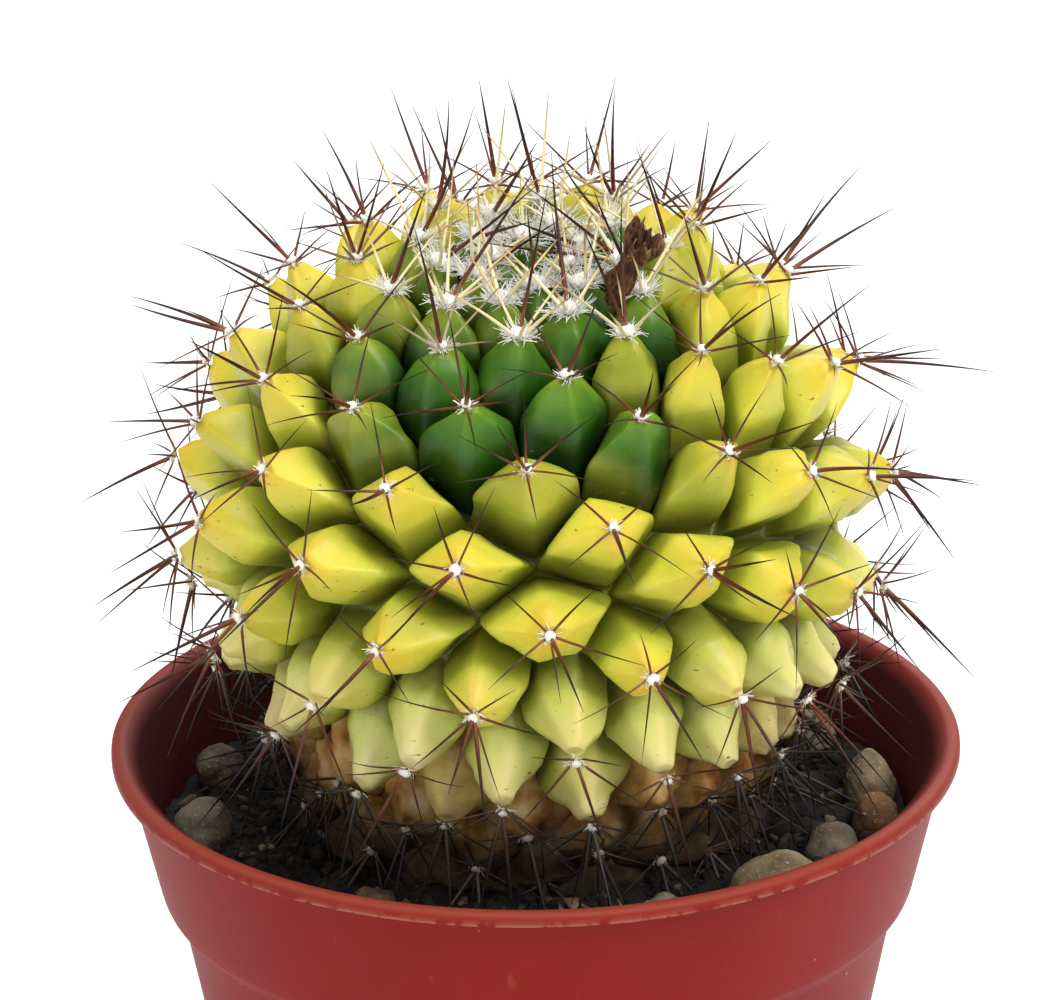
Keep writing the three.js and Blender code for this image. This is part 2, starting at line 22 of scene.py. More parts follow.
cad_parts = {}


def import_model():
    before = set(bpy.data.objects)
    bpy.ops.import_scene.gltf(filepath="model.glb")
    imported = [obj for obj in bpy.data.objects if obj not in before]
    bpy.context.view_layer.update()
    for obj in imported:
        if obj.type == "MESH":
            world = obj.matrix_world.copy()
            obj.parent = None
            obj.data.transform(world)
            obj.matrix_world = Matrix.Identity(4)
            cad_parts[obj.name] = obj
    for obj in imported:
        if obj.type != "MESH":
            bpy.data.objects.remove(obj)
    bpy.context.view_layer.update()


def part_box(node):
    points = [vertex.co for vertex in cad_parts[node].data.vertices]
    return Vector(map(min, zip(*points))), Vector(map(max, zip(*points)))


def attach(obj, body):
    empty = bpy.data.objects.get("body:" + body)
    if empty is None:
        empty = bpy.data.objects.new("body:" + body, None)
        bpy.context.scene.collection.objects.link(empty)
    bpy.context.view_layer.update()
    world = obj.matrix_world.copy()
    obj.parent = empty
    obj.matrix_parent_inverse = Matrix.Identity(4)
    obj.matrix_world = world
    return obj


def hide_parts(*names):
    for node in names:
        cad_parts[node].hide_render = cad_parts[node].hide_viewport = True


MM = 0.001
LOG = logging.getLogger("cactus")
BODY = "root"


# ---- Shared helpers --------------------------------------------------------------------------------


def linear(code: str) -> tuple[float, float, float, float]:
    """Turns an sRGB hex colour into linear light.

    Args:
        code: Six hex digits, with or without a leading hash.

    Returns:
        Red, green, blue and an alpha of 1.
    """
    digits = code.lstrip("#")
    channels = [int(digits[i : i + 2], 16) / 255 for i in (0, 2, 4)]
    red, green, blue = (c / 12.92 if c <= 0.04045 else ((c + 0.055) / 1.055) ** 2.4 for c in channels)
    return red, green, blue, 1.0


def ease(value: float, low: float, high: float) -> float:
    """Rises smoothly from 0 at low to 1 at high.

    Args:
        value: Where to read the curve.
        low: Where it leaves 0.
        high: Where it reaches 1.

    Returns:
        A number from 0 to 1.
    """
    t = min(max((value - low) / (high - low), 0.0), 1.0)
    return t * t * (3 - 2 * t)


def mix(a: float, b: float, share: float) -> float:
    """The number that lies the given share of the way from a to b."""
    return a + (b - a) * share


@dataclass
class NodeSketch:
    """A node tree being drawn, with one way to add a node to it."""

    tree: bpy.types.NodeTree

    def add(self, kind: str, inputs: dict | None = None, **settings: object) -> bpy.types.Node:
        """Adds a node with its settings and fills its inputs.

        Args:
            kind: The node's type name.
            inputs: Input number or name to a value, a socket or a node, whose first live output is used.
            settings: Properties set on the node before its inputs are filled.

        Returns:
            The new node.
        """
        node = self.tree.nodes.new(kind)
        for name, value in settings.items():
            setattr(node, name, value)
        for key, value in (inputs or {}).items():
            live = [s for s in node.inputs if s.enabled and s.name == key]
            socket = node.inputs[key] if isinstance(key, int) else live[0]
            if isinstance(value, bpy.types.Node):
                value = next(s for s in value.outputs if s.enabled)
            if isinstance(value, bpy.types.NodeSocket):
                self.tree.links.new(value, socket)
            else:
                socket.default_value = value
        return node


class GrowthTree(NodeSketch):
    """A Geometry Nodes group that grows a mesh from the object that carries it."""

    def __init__(self, name: str, sizes: dict[str, float | int]) -> None:
        """Starts the group with its input sizes.

        Args:
            name: The group's name.
            sizes: Name and default of each input; whole numbers become integer inputs.
        """
        super().__init__(bpy.data.node_groups.new(name, "GeometryNodeTree"))
        face = self.tree.interface
        face.new_socket("Geometry", in_out="INPUT", socket_type="NodeSocketGeometry")
        for label, value in sizes.items():
            whole = isinstance(value, int)
            kind = "NodeSocketInt" if whole else "NodeSocketFloat"
            face.new_socket(label, in_out="INPUT", socket_type=kind).default_value = value
        face.new_socket("Material", in_out="INPUT", socket_type="NodeSocketMaterial")
        face.new_socket("Geometry", in_out="OUTPUT", socket_type="NodeSocketGeometry")
        self.start = self.add("NodeGroupInput")

    def size(self, label: str) -> bpy.types.NodeSocket:
        """The socket that gives one of the group's inputs."""
        return self.start.outputs[label]

    def read(self, name: str, data_type: str = "FLOAT") -> bpy.types.NodeSocket:
        """The socket that reads a named attribute."""
        return self.add("GeometryNodeInputNamedAttribute", {"Name": name}, data_type=data_type).outputs[0]

    def finish(self, mesh: object) -> None:
        """Ends the group: instances made real, shaded smooth, with its material.

        Args:
            mesh: The node or socket that gives the grown geometry.
        """
        real = self.add("GeometryNodeRealizeInstances", {"Geometry": mesh})
        smooth = self.add("GeometryNodeSetShadeSmooth", {"Geometry": real})
        dressed = self.add("GeometryNodeSetMaterial", {"Geometry": smooth,
                                                       "Material": self.size("Material")})
        self.add("NodeGroupOutput", {"Geometry": dressed})

    def grow(self, source: bpy.types.Object, name: str, material: bpy.types.Material,
             **sizes: float | int) -> bpy.types.Object:
        """Runs the group on an object and keeps the result as a plain mesh.

        Args:
            source: The object to grow from; it is removed afterwards.
            name: The new piece's name.
            material: The piece's material.
            sizes: Inputs to set, by name with underscores for spaces.

        Returns:
            The new mesh object.
        """
        modifier = source.modifiers.new("growth", "NODES")
        modifier.node_group = self.tree
        sockets = {item.name: item.identifier for item in self.tree.interface.items_tree
                   if item.in_out == "INPUT"}
        modifier[sockets["Material"]] = material
        for label, value in sizes.items():
            modifier[sockets[label.replace("_", " ")]] = value
        graph = bpy.context.evaluated_depsgraph_get()
        mesh = bpy.data.meshes.new_from_object(source.evaluated_get(graph), depsgraph=graph)
        source.modifiers.remove(modifier)
        bpy.data.objects.remove(source)
        mesh.name = name
        return place_mesh(name, mesh, material)


def place_mesh(name: str, mesh: bpy.types.Mesh, material: bpy.types.Material | None) -> bpy.types.Object:
    """Puts a mesh in the scene as an object at the origin.

    Args:
        name: The object's name.
        mesh: Its mesh.
        material: Its material, or None for a helper that is not shown.

    Returns:
        The object.
    """
    if material is not None:
        mesh.materials.clear()
        mesh.materials.append(material)
    piece = bpy.data.objects.new(name, mesh)
    bpy.context.scene.collection.objects.link(piece)
    return piece


def point_cloud(name: str, places: list[Vector], traits: dict[str, list]) -> bpy.types.Object:
    """Makes a mesh of loose points that carry named traits, for a tree to grow on.

    Args:
        name: The object's name.
        places: Where the points are.
        traits: Trait name to one value for each point, a number or a Vector.

    Returns:
        The object that holds the points.
    """
    mesh = bpy.data.meshes.new(name)
    mesh.from_pydata([tuple(p) for p in places], [], [])
    for label, values in traits.items():
        if isinstance(values[0], Vector):
            layer = mesh.attributes.new(label, "FLOAT_VECTOR", "POINT")
            layer.data.foreach_set("vector", [c for v in values for c in v])
        else:
            layer = mesh.attributes.new(label, "FLOAT", "POINT")
            layer.data.foreach_set("value", values)
    return place_mesh(name, mesh, None)


def ring_faces(rows: list[list[int]]) -> list[tuple[int, ...]]:
    """Makes the faces between rings of points that are stacked along an axis.

    Args:
        rows: The numbers of each ring's points, in order; the first and last rings may be single points.

    Returns:
        The faces, turned outwards where the rings run anticlockwise about the way they are stacked.
    """
    sides = max(len(row) for row in rows)
    faces = []
    for lower, upper in zip(rows, rows[1:]):
        for i in range(sides):
            a, b = lower[i % len(lower)], lower[(i + 1) % len(lower)]
            c, d = upper[(i + 1) % len(upper)], upper[i % len(upper)]
            faces.append(tuple(dict.fromkeys((a, b, c, d))))
    return faces


def smooth_mesh(name: str, points: list[Vector], faces: list[tuple[int, ...]]) -> bpy.types.Mesh:
    """Makes a smooth-shaded mesh from points and faces.

    Args:
        name: The mesh's name.
        points: Its points.
        faces: Its faces, turned outwards.

    Returns:
        The mesh.
    """
    mesh = bpy.data.meshes.new(name)
    mesh.from_pydata([tuple(p) for p in points], [], faces)
    mesh.shade_smooth()
    return mesh


# ---- Finishes --------------------------------------------------------------------------------------


@dataclass(frozen=True)
class Finish:
    """What every finish has in common: a name, and a way to start its material."""

    name: str

    def start(self) -> tuple[NodeSketch, bpy.types.Node, bpy.types.Material]:
        """Makes the material with its shader.

        Returns:
            The sketch to add nodes to, the shader and the material.
        """
        material = bpy.data.materials.new(self.name)
        material.use_nodes = True
        sketch = NodeSketch(material.node_tree)
        return sketch, material.node_tree.nodes["Principled BSDF"], material

    @staticmethod
    def trait(sketch: NodeSketch, name: str) -> bpy.types.NodeSocket:
        """The socket that reads a number stored on the piece."""
        return sketch.add("ShaderNodeAttribute", attribute_name=name).outputs["Fac"]

    @staticmethod
    def ramp(sketch: NodeSketch, factor: object, stops: list[tuple[float, str]]) -> bpy.types.Node:
        """Adds a colour ramp.

        Args:
            sketch: The sketch to add it to.
            factor: What runs along the ramp.
            stops: Place and hex colour of each stop.

        Returns:
            The ramp.
        """
        node = sketch.add("ShaderNodeValToRGB", {"Fac": factor})
        elements = node.color_ramp.elements
        while len(elements) < len(stops):
            elements.new(0.5)
        for element, (position, code) in zip(elements, stops):
            element.position = position
            element.color = linear(code)
        return node

    @staticmethod
    def speckle(sketch: NodeSketch, size: float, detail: float = 3.0,
                stretch: tuple[float, float, float] = (1, 1, 1)) -> bpy.types.Node:
        """Adds a noise pattern of a real size.

        Args:
            sketch: The sketch to add it to.
            size: Width of one mark, in metres.
            detail: How many finer octaves there are.
            stretch: Factors along the piece's axes.

        Returns:
            The noise.
        """
        place = sketch.add("ShaderNodeTexCoord").outputs["Object"]
        spread = sketch.add("ShaderNodeMapping", {"Vector": place, "Scale": stretch})
        return sketch.add("ShaderNodeTexNoise", {"Vector": spread, "Scale": 1 / size, "Detail": detail})


@dataclass(frozen=True)
class LivingSkin(Finish):
    """Waxy cactus skin over watery flesh: soft gloss, a little light carried inside, sun-yellowed tips."""

    name: str = "cactus_skin"
    roughness: float = 0.4
    ior: float = 1.43
    waxiness: float = 0.12
    mottle: float = 3.2 * MM
    scar: float = 1.1 * MM
    pore: float = 0.28 * MM
    crinkle: float = 1.3 * MM
    # Painted shade on the dried neck: darkest below the first height, gone above the second.
    shade_darkest_below: float = 64.5 * MM
    shade_ends_above: float = 71 * MM

    def material(self) -> bpy.types.Material:
        """Builds the material.

        Returns:
            The material, reading the traits out, keel, green, pale and dried, with painted crevice shade.
        """
        sketch, shader, material = self.start()
        mottle = self.speckle(sketch, self.mottle)
        broad = self.speckle(sketch, 3 * self.mottle)
        out = self.trait(sketch, "out")
        shift = sketch.add("ShaderNodeMath", {0: mottle, 1: 0.5, 2: -0.25}, operation="MULTIPLY_ADD")
        along = sketch.add("ShaderNodeMath", {0: out, 1: shift}, operation="ADD")
        sunny = self.ramp(sketch, along, [
            (0.0, "dfbb32"), (0.5, "dac83c"), (0.78, "d3cb45"), (1.0, "b7bd38")])
        shady = self.ramp(sketch, along, [
            (0.0, "aaa922"), (0.28, "648b1a"), (0.64, "3d6e12"), (1.0, "1c4208")])
        faded = self.ramp(sketch, along, [
            (0.0, "f1e4ae"), (0.35, "e5df92"), (0.72, "cfd170"), (1.0, "a2a63e")])
        green = self.trait(sketch, "green")
        sway = sketch.add("ShaderNodeMath", {0: broad, 1: 1.1, 2: -0.55}, operation="MULTIPLY_ADD")
        greener = sketch.add("ShaderNodeMath", {0: green, 1: sway}, operation="ADD", use_clamp=True)
        living = sketch.add("ShaderNodeMix", {"Factor": greener, "A": sunny, "B": shady}, data_type="RGBA")
        pale = sketch.add("ShaderNodeMix", {"Factor": self.trait(sketch, "pale"), "A": living, "B": faded},
                          data_type="RGBA")
        keel = self.trait(sketch, "keel")
        lit = sketch.add("ShaderNodeMapRange", {"Value": keel, "From Min": 0.55, "From Max": 0.95})
        inner = sketch.add("ShaderNodeMapRange", {"Value": out, "From Min": 0.95, "From Max": 0.6})
        ridge = sketch.add("ShaderNodeMath", {0: lit, 1: inner}, operation="MULTIPLY")
        less = sketch.add("ShaderNodeMath", {0: greener, 1: -0.75, 2: 0.85}, operation="MULTIPLY_ADD")
        ridge = sketch.add("ShaderNodeMath", {0: ridge, 1: less}, operation="MULTIPLY")
        gold = sketch.add("ShaderNodeMix", {"Factor": self.trait(sketch, "pale"), "A": linear("e0b93a"),
                                            "B": linear("f0e2a8")}, data_type="RGBA")
        # Painted shade: the colour darkens to about a third in the crevices between tubercles.
        crevice = sketch.add("ShaderNodeMapRange", {"Value": out, "From Min": 0.93, "To Min": 1.0,
                                                    "To Max": 0.32})
        pale = sketch.add("ShaderNodeVectorMath", {0: pale, "Scale": crevice}, operation="SCALE")
        keeled = sketch.add("ShaderNodeMix", {"Factor": ridge, "A": pale, "B": gold}, data_type="RGBA")
        nib = sketch.add("ShaderNodeMapRange", {"Value": out, "From Min": 0.2, "From Max": 0.04})
        nib = sketch.add("ShaderNodeMath", {0: nib, 1: self.trait(sketch, "pale")}, operation="MULTIPLY")
        keeled = sketch.add("ShaderNodeMix", {"Factor": nib, "A": keeled, "B": linear("b98b4a")},
                            data_type="RGBA")
        scar = self.speckle(sketch, self.scar, 2.0, (1, 1, 2.4))
        cork = sketch.add("ShaderNodeMapRange", {"Value": scar, "From Min": 0.7, "From Max": 0.76})
        corky = sketch.add("ShaderNodeMix", {"Factor": cork, "A": keeled, "B": linear("8a6428")},
                           data_type="RGBA")
        paper = self.ramp(sketch, mottle, [
            (0.3, "6a3c18"), (0.43, "b07a34"), (0.55, "d0a366"), (0.7, "e2c894")])
        # Painted shade: dried tubercles darken towards the soil under the leaning stem, down to 0.12 of
        # their colour.
        place = sketch.add("ShaderNodeSeparateXYZ", {0: sketch.add("ShaderNodeTexCoord").outputs["Object"]})
        neck_shade = sketch.add("ShaderNodeMapRange", {"Value": place.outputs["Z"], "From Min": self.shade_darkest_below,
                                                  "From Max": self.shade_ends_above, "To Min": 0.12})
        paper = sketch.add("ShaderNodeVectorMath", {0: paper, "Scale": neck_shade}, operation="SCALE")
        dead = self.trait(sketch, "dried")
        skin = sketch.add("ShaderNodeMix", {"Factor": dead, "A": corky, "B": paper}, data_type="RGBA")
        pore = self.speckle(sketch, self.pore, 2.0)
        wrinkle = self.speckle(sketch, self.crinkle, 4.0, (1, 1, 0.35))
        rough = sketch.add("ShaderNodeMix", {"Factor": dead, "A": pore, "B": wrinkle}, data_type="FLOAT")
        depth = sketch.add("ShaderNodeMapRange", {"Value": dead, "To Min": 0.06, "To Max": 0.6})
        bump = sketch.add("ShaderNodeBump", {"Height": rough, "Strength": depth, "Distance": 0.4 * MM})
        gloss = sketch.add("ShaderNodeMapRange", {"Value": dead, "To Min": self.roughness, "To Max": 0.85})
        links = sketch.tree.links
        links.new(skin.outputs[2], shader.inputs["Base Color"])
        links.new(gloss.outputs[0], shader.inputs["Roughness"])
        links.new(bump.outputs[0], shader.inputs["Normal"])
        shader.inputs["IOR"].default_value = self.ior
        shader.inputs["Subsurface Weight"].default_value = self.waxiness
        shader.inputs["Subsurface Radius"].default_value = (1.0, 0.9, 0.25)
        shader.inputs["Subsurface Scale"].default_value = 1.6 * MM
        return material


@dataclass(frozen=True)
class SpineHorn(Finish):
    """Dried woody spine, smooth as horn: straw at the base, red-brown above, near black at the point."""

    name: str = "spine_horn"
    roughness: float = 0.38
    streak: float = 2.5 * MM

    def material(self) -> bpy.types.Material:
        """Builds the material.

        Returns:
            The material, which reads the traits along, young and old.
        """
        sketch, shader, material = self.start()
        streak = self.speckle(sketch, self.streak)
        shift = sketch.add("ShaderNodeMath", {0: streak, 1: 0.5, 2: -0.25}, operation="MULTIPLY_ADD")
        along = sketch.add("ShaderNodeMath", {0: self.trait(sketch, "along"), 1: shift}, operation="ADD")
        grown = self.ramp(sketch, along, [
            (0.0, "85593a"), (0.16, "64301a"), (0.45, "3a1810"), (0.75, "0c0504")])
        fresh = self.ramp(sketch, along, [
            (0.0, "f4ecc6"), (0.5, "ead9a0"), (0.8, "b98a54"), (1.0, "3a1a10")])
        weathered = self.ramp(sketch, along, [
            (0.0, "4a4138"), (0.4, "2b2622"), (0.9, "0e0c0b")])
        young = sketch.add("ShaderNodeMix", {"Factor": self.trait(sketch, "young"), "A": grown, "B": fresh},
                           data_type="RGBA")
        colour = sketch.add("ShaderNodeMix", {"Factor": self.trait(sketch, "old"), "A": young,
                                              "B": weathered}, data_type="RGBA")
        sketch.tree.links.new(colour.outputs[2], shader.inputs["Base Color"])
        shader.inputs["Roughness"].default_value = self.roughness
        shader.inputs["IOR"].default_value = 1.54
        shader.inputs["Specular IOR Level"].default_value = 0.25
        return material


@dataclass(frozen=True)
class PlantWool(Finish):
    """Cottony plant wool: dull, white and light-scattering, with a soft sheen of loose fibres."""

    name: str = "plant_wool"
    clean: str = "fbf9f3"
    dusty: str = "b9ab97"

    def material(self) -> bpy.types.Material:
        """Builds the material, which reads the trait dusty.

        Returns:
            The material.
        """
        sketch, shader, material = self.start()
        colour = sketch.add("ShaderNodeMix", {"Factor": self.trait(sketch, "dusty"),
                                              "A": linear(self.clean), "B": linear(self.dusty)},
                            data_type="RGBA")
        sketch.tree.links.new(colour.outputs[2], shader.inputs["Base Color"])
        shader.inputs["Roughness"].default_value = 0.95
        shader.inputs["Sheen Weight"].default_value = 0.4
        return material


@dataclass(frozen=True)
class MouldedPolypropylene(Finish):
    """Injection-moulded polypropylene: brick red through and through, satin and scuffed, with a painted
    highlight on the rim top and painted shade on the inside wall.
    """

    name: str = "moulded_polypropylene"
    red: str = "7e1511"
    # Painted highlight for the top of the rim.
    rim_highlight: str = "8a3c2e"
    flash: str = "a3604a"
    # Painted shade for the inside wall of the pot.
    inside: str = "40100f"
    cloud: float = 14 * MM
    scratch: float = 1.0 * MM
    dust: float = 0.8 * MM
    ragged: float = 1.6 * MM
    grain: float = 0.5 * MM

    def material(self) -> bpy.types.Material:
        """Builds the material, which reads the traits edge, flash and inner; edge paints a highlight on the
        rim top and inner paints shade on the inside wall.

        Returns:
            The material.
        """
        sketch, shader, material = self.start()
        cloud = self.speckle(sketch, self.cloud, 4.0)
        body = self.ramp(sketch, cloud, [(0.3, "79130f"), (0.5, self.red), (0.7, "831813")])
        scratch = self.speckle(sketch, self.scratch, 3.0, (1, 1, 0.12))
        marks = sketch.add("ShaderNodeMapRange", {"Value": scratch, "From Min": 0.7, "From Max": 0.78,
                                                  "To Max": 0.25})
        scuffed = sketch.add("ShaderNodeMix", {"Factor": marks, "A": body, "B": linear("9c5044")},
                             data_type="RGBA")
        speck = self.speckle(sketch, self.dust, 1.0)
        dust = sketch.add("ShaderNodeMapRange", {"Value": speck, "From Min": 0.8, "From Max": 0.84,
                                                 "To Max": 0.8})
        dusty = sketch.add("ShaderNodeMix", {"Factor": dust, "A": scuffed, "B": linear("e0cfc4")},
                           data_type="RGBA")
        # Painted highlight: where the edge trait is high, over the rim top, the colour is lightened.
        edge = sketch.add("ShaderNodeMix", {"Factor": self.trait(sketch, "edge"), "A": dusty,
                                            "B": linear(self.rim_highlight)}, data_type="RGBA")
        # Painted shade: where the inner trait is high, on the inside wall and floor, the colour darkens.
        inner = sketch.add("ShaderNodeMix", {"Factor": self.trait(sketch, "inner"), "A": edge,
                                             "B": linear(self.inside)}, data_type="RGBA")
        ragged = self.speckle(sketch, self.ragged, 4.0)
        broken = sketch.add("ShaderNodeMapRange", {"Value": ragged, "From Min": 0.42, "From Max": 0.5})
        seam = sketch.add("ShaderNodeMath", {0: self.trait(sketch, "flash"), 1: broken},
                          operation="MULTIPLY")
        colour = sketch.add("ShaderNodeMix", {"Factor": seam, "A": inner, "B": linear(self.flash)},
                            data_type="RGBA")
        grain = self.speckle(sketch, self.grain, 3.0)
        bump = sketch.add("ShaderNodeBump", {"Height": grain, "Strength": 0.12, "Distance": 0.1 * MM})
        gloss = sketch.add("ShaderNodeMapRange", {"Value": cloud, "To Min": 0.42, "To Max": 0.58})
        links = sketch.tree.links
        links.new(colour.outputs[2], shader.inputs["Base Color"])
        links.new(gloss.outputs[0], shader.inputs["Roughness"])
        links.new(bump.outputs[0], shader.inputs["Normal"])
        shader.inputs["IOR"].default_value = 1.49
        shader.inputs["Specular IOR Level"].default_value = 0.12
        return material


@dataclass(frozen=True)
class PottingSoil(Finish):
    """Damp peat and bark crumbs: very dark and dull, with paler dry bits."""

    name: str = "potting_soil"
    roughness: float = 0.95
    fleck: float = 1.5 * MM

    def material(self) -> bpy.types.Material:
        """Builds the material, which reads the trait tint.

        Returns:
            The material.
        """
        sketch, shader, material = self.start()
        tint = self.trait(sketch, "tint")
        fleck = self.speckle(sketch, self.fleck, 5.0)
        shift = sketch.add("ShaderNodeMath", {0: fleck, 1: 0.5, 2: -0.25}, operation="MULTIPLY_ADD")
        at = sketch.add("ShaderNodeMath", {0: tint, 1: shift}, operation="ADD")
        colour = self.ramp(sketch, at, [
            (0.0, "0f0b09"), (0.45, "1e1611"), (0.72, "33261b"), (0.88, "54422f"), (1.0, "83725a")])
        bump = sketch.add("ShaderNodeBump", {"Height": fleck, "Strength": 0.7, "Distance": 0.5 * MM})
        links = sketch.tree.links
        links.new(colour.outputs[0], shader.inputs["Base Color"])
        links.new(bump.outputs[0], shader.inputs["Normal"])
        shader.inputs["Roughness"].default_value = self.roughness
        return material


class StoneKind(Enum):
    """The kinds of stone in the gravel, each with its main, stained and chipped colours."""

    FLINT = ("523b29", "302118", "735a40")
    LIMESTONE = ("675d4c", "403930", "8b816c")
    SANDSTONE = ("7b6a50", "52432f", "9f8f71")
    CHERT = ("5b4e3d", "362c22", "7f715b")
    IRONSTONE = ("6e4828", "412816", "906b42")


@dataclass(frozen=True)
class Pebble(Finish):
    """River gravel: dull, fine-grained stone with darker stains and pale chips."""

    base: str
    dark: str
    light: str
    stain: float = 4 * MM
    grain: float = 0.35 * MM

    def material(self) -> bpy.types.Material:
        """Builds the material.

        Returns:
            The material.
        """
        sketch, shader, material = self.start()
        stain = self.speckle(sketch, self.stain, 6.0)
        colour = self.ramp(sketch, stain, [(0.3, self.dark), (0.48, self.base), (0.72, self.light)])
        grain = self.speckle(sketch, self.grain, 3.0)
        chip = sketch.add("ShaderNodeMapRange", {"Value": grain, "From Min": 0.62, "From Max": 0.7,
                                                 "To Max": 0.45})
        chipped = sketch.add("ShaderNodeMix", {"Factor": chip, "A": colour, "B": linear("cfc4ae")},
                             data_type="RGBA")
        bump = sketch.add("ShaderNodeBump", {"Height": grain, "Strength": 0.5, "Distance": 0.25 * MM})
        links = sketch.tree.links
        links.new(chipped.outputs[2], shader.inputs["Base Color"])
        links.new(bump.outputs[0], shader.inputs["Normal"])
        shader.inputs["Roughness"].default_value = 0.86
        return material


@dataclass(frozen=True)
class WitheredPetal(Finish):
    """Shrivelled flower tissue: thin, dry and creased, brown with straw-coloured folds."""

    name: str = "withered_petal"
    fold: float = 1.1 * MM

    def material(self) -> bpy.types.Material:
        """Builds the material.

        Returns:
            The material.
        """
        sketch, shader, material = self.start()
        fold = self.speckle(sketch, self.fold, 4.0, (2.2, 2.2, 0.5))
        colour = self.ramp(sketch, fold, [(0.3, "24130b"), (0.5, "5a3620"), (0.72, "94704a")])
        bump = sketch.add("ShaderNodeBump", {"Height": fold, "Strength": 0.8, "Distance": 0.4 * MM})
        links = sketch.tree.links
        links.new(colour.outputs[0], shader.inputs["Base Color"])
        links.new(bump.outputs[0], shader.inputs["Normal"])
        shader.inputs["Roughness"].default_value = 0.85
        return material


@dataclass(frozen=True)
class PaleFloor(Finish):
    """A plain matt light-table top, lit a little from within."""

    name: str = "pale_floor"
    colour: str = "f6f6f6"
    glow: float = 0.12

    def material(self) -> bpy.types.Material:
        """Builds the material.

        Returns:
            The material.
        """
        _, shader, material = self.start()
        shader.inputs["Base Color"].default_value = linear(self.colour)
        shader.inputs["Roughness"].default_value = 0.9
        shader.inputs["Emission Color"].default_value = linear(self.colour)
        shader.inputs["Emission Strength"].default_value = self.glow
        return material


# ---- The growth law --------------------------------------------------------------------------------


@dataclass(frozen=True)
class Tubercle:
    """One tubercle of the stem, with its directions in the part's frame."""

    tip: Vector
    foot: Vector
    axis: Vector
    up: Vector
    ball: Vector
    polar: float
    height: float
    dried: float
    green: float
    pale: float
    beak: float


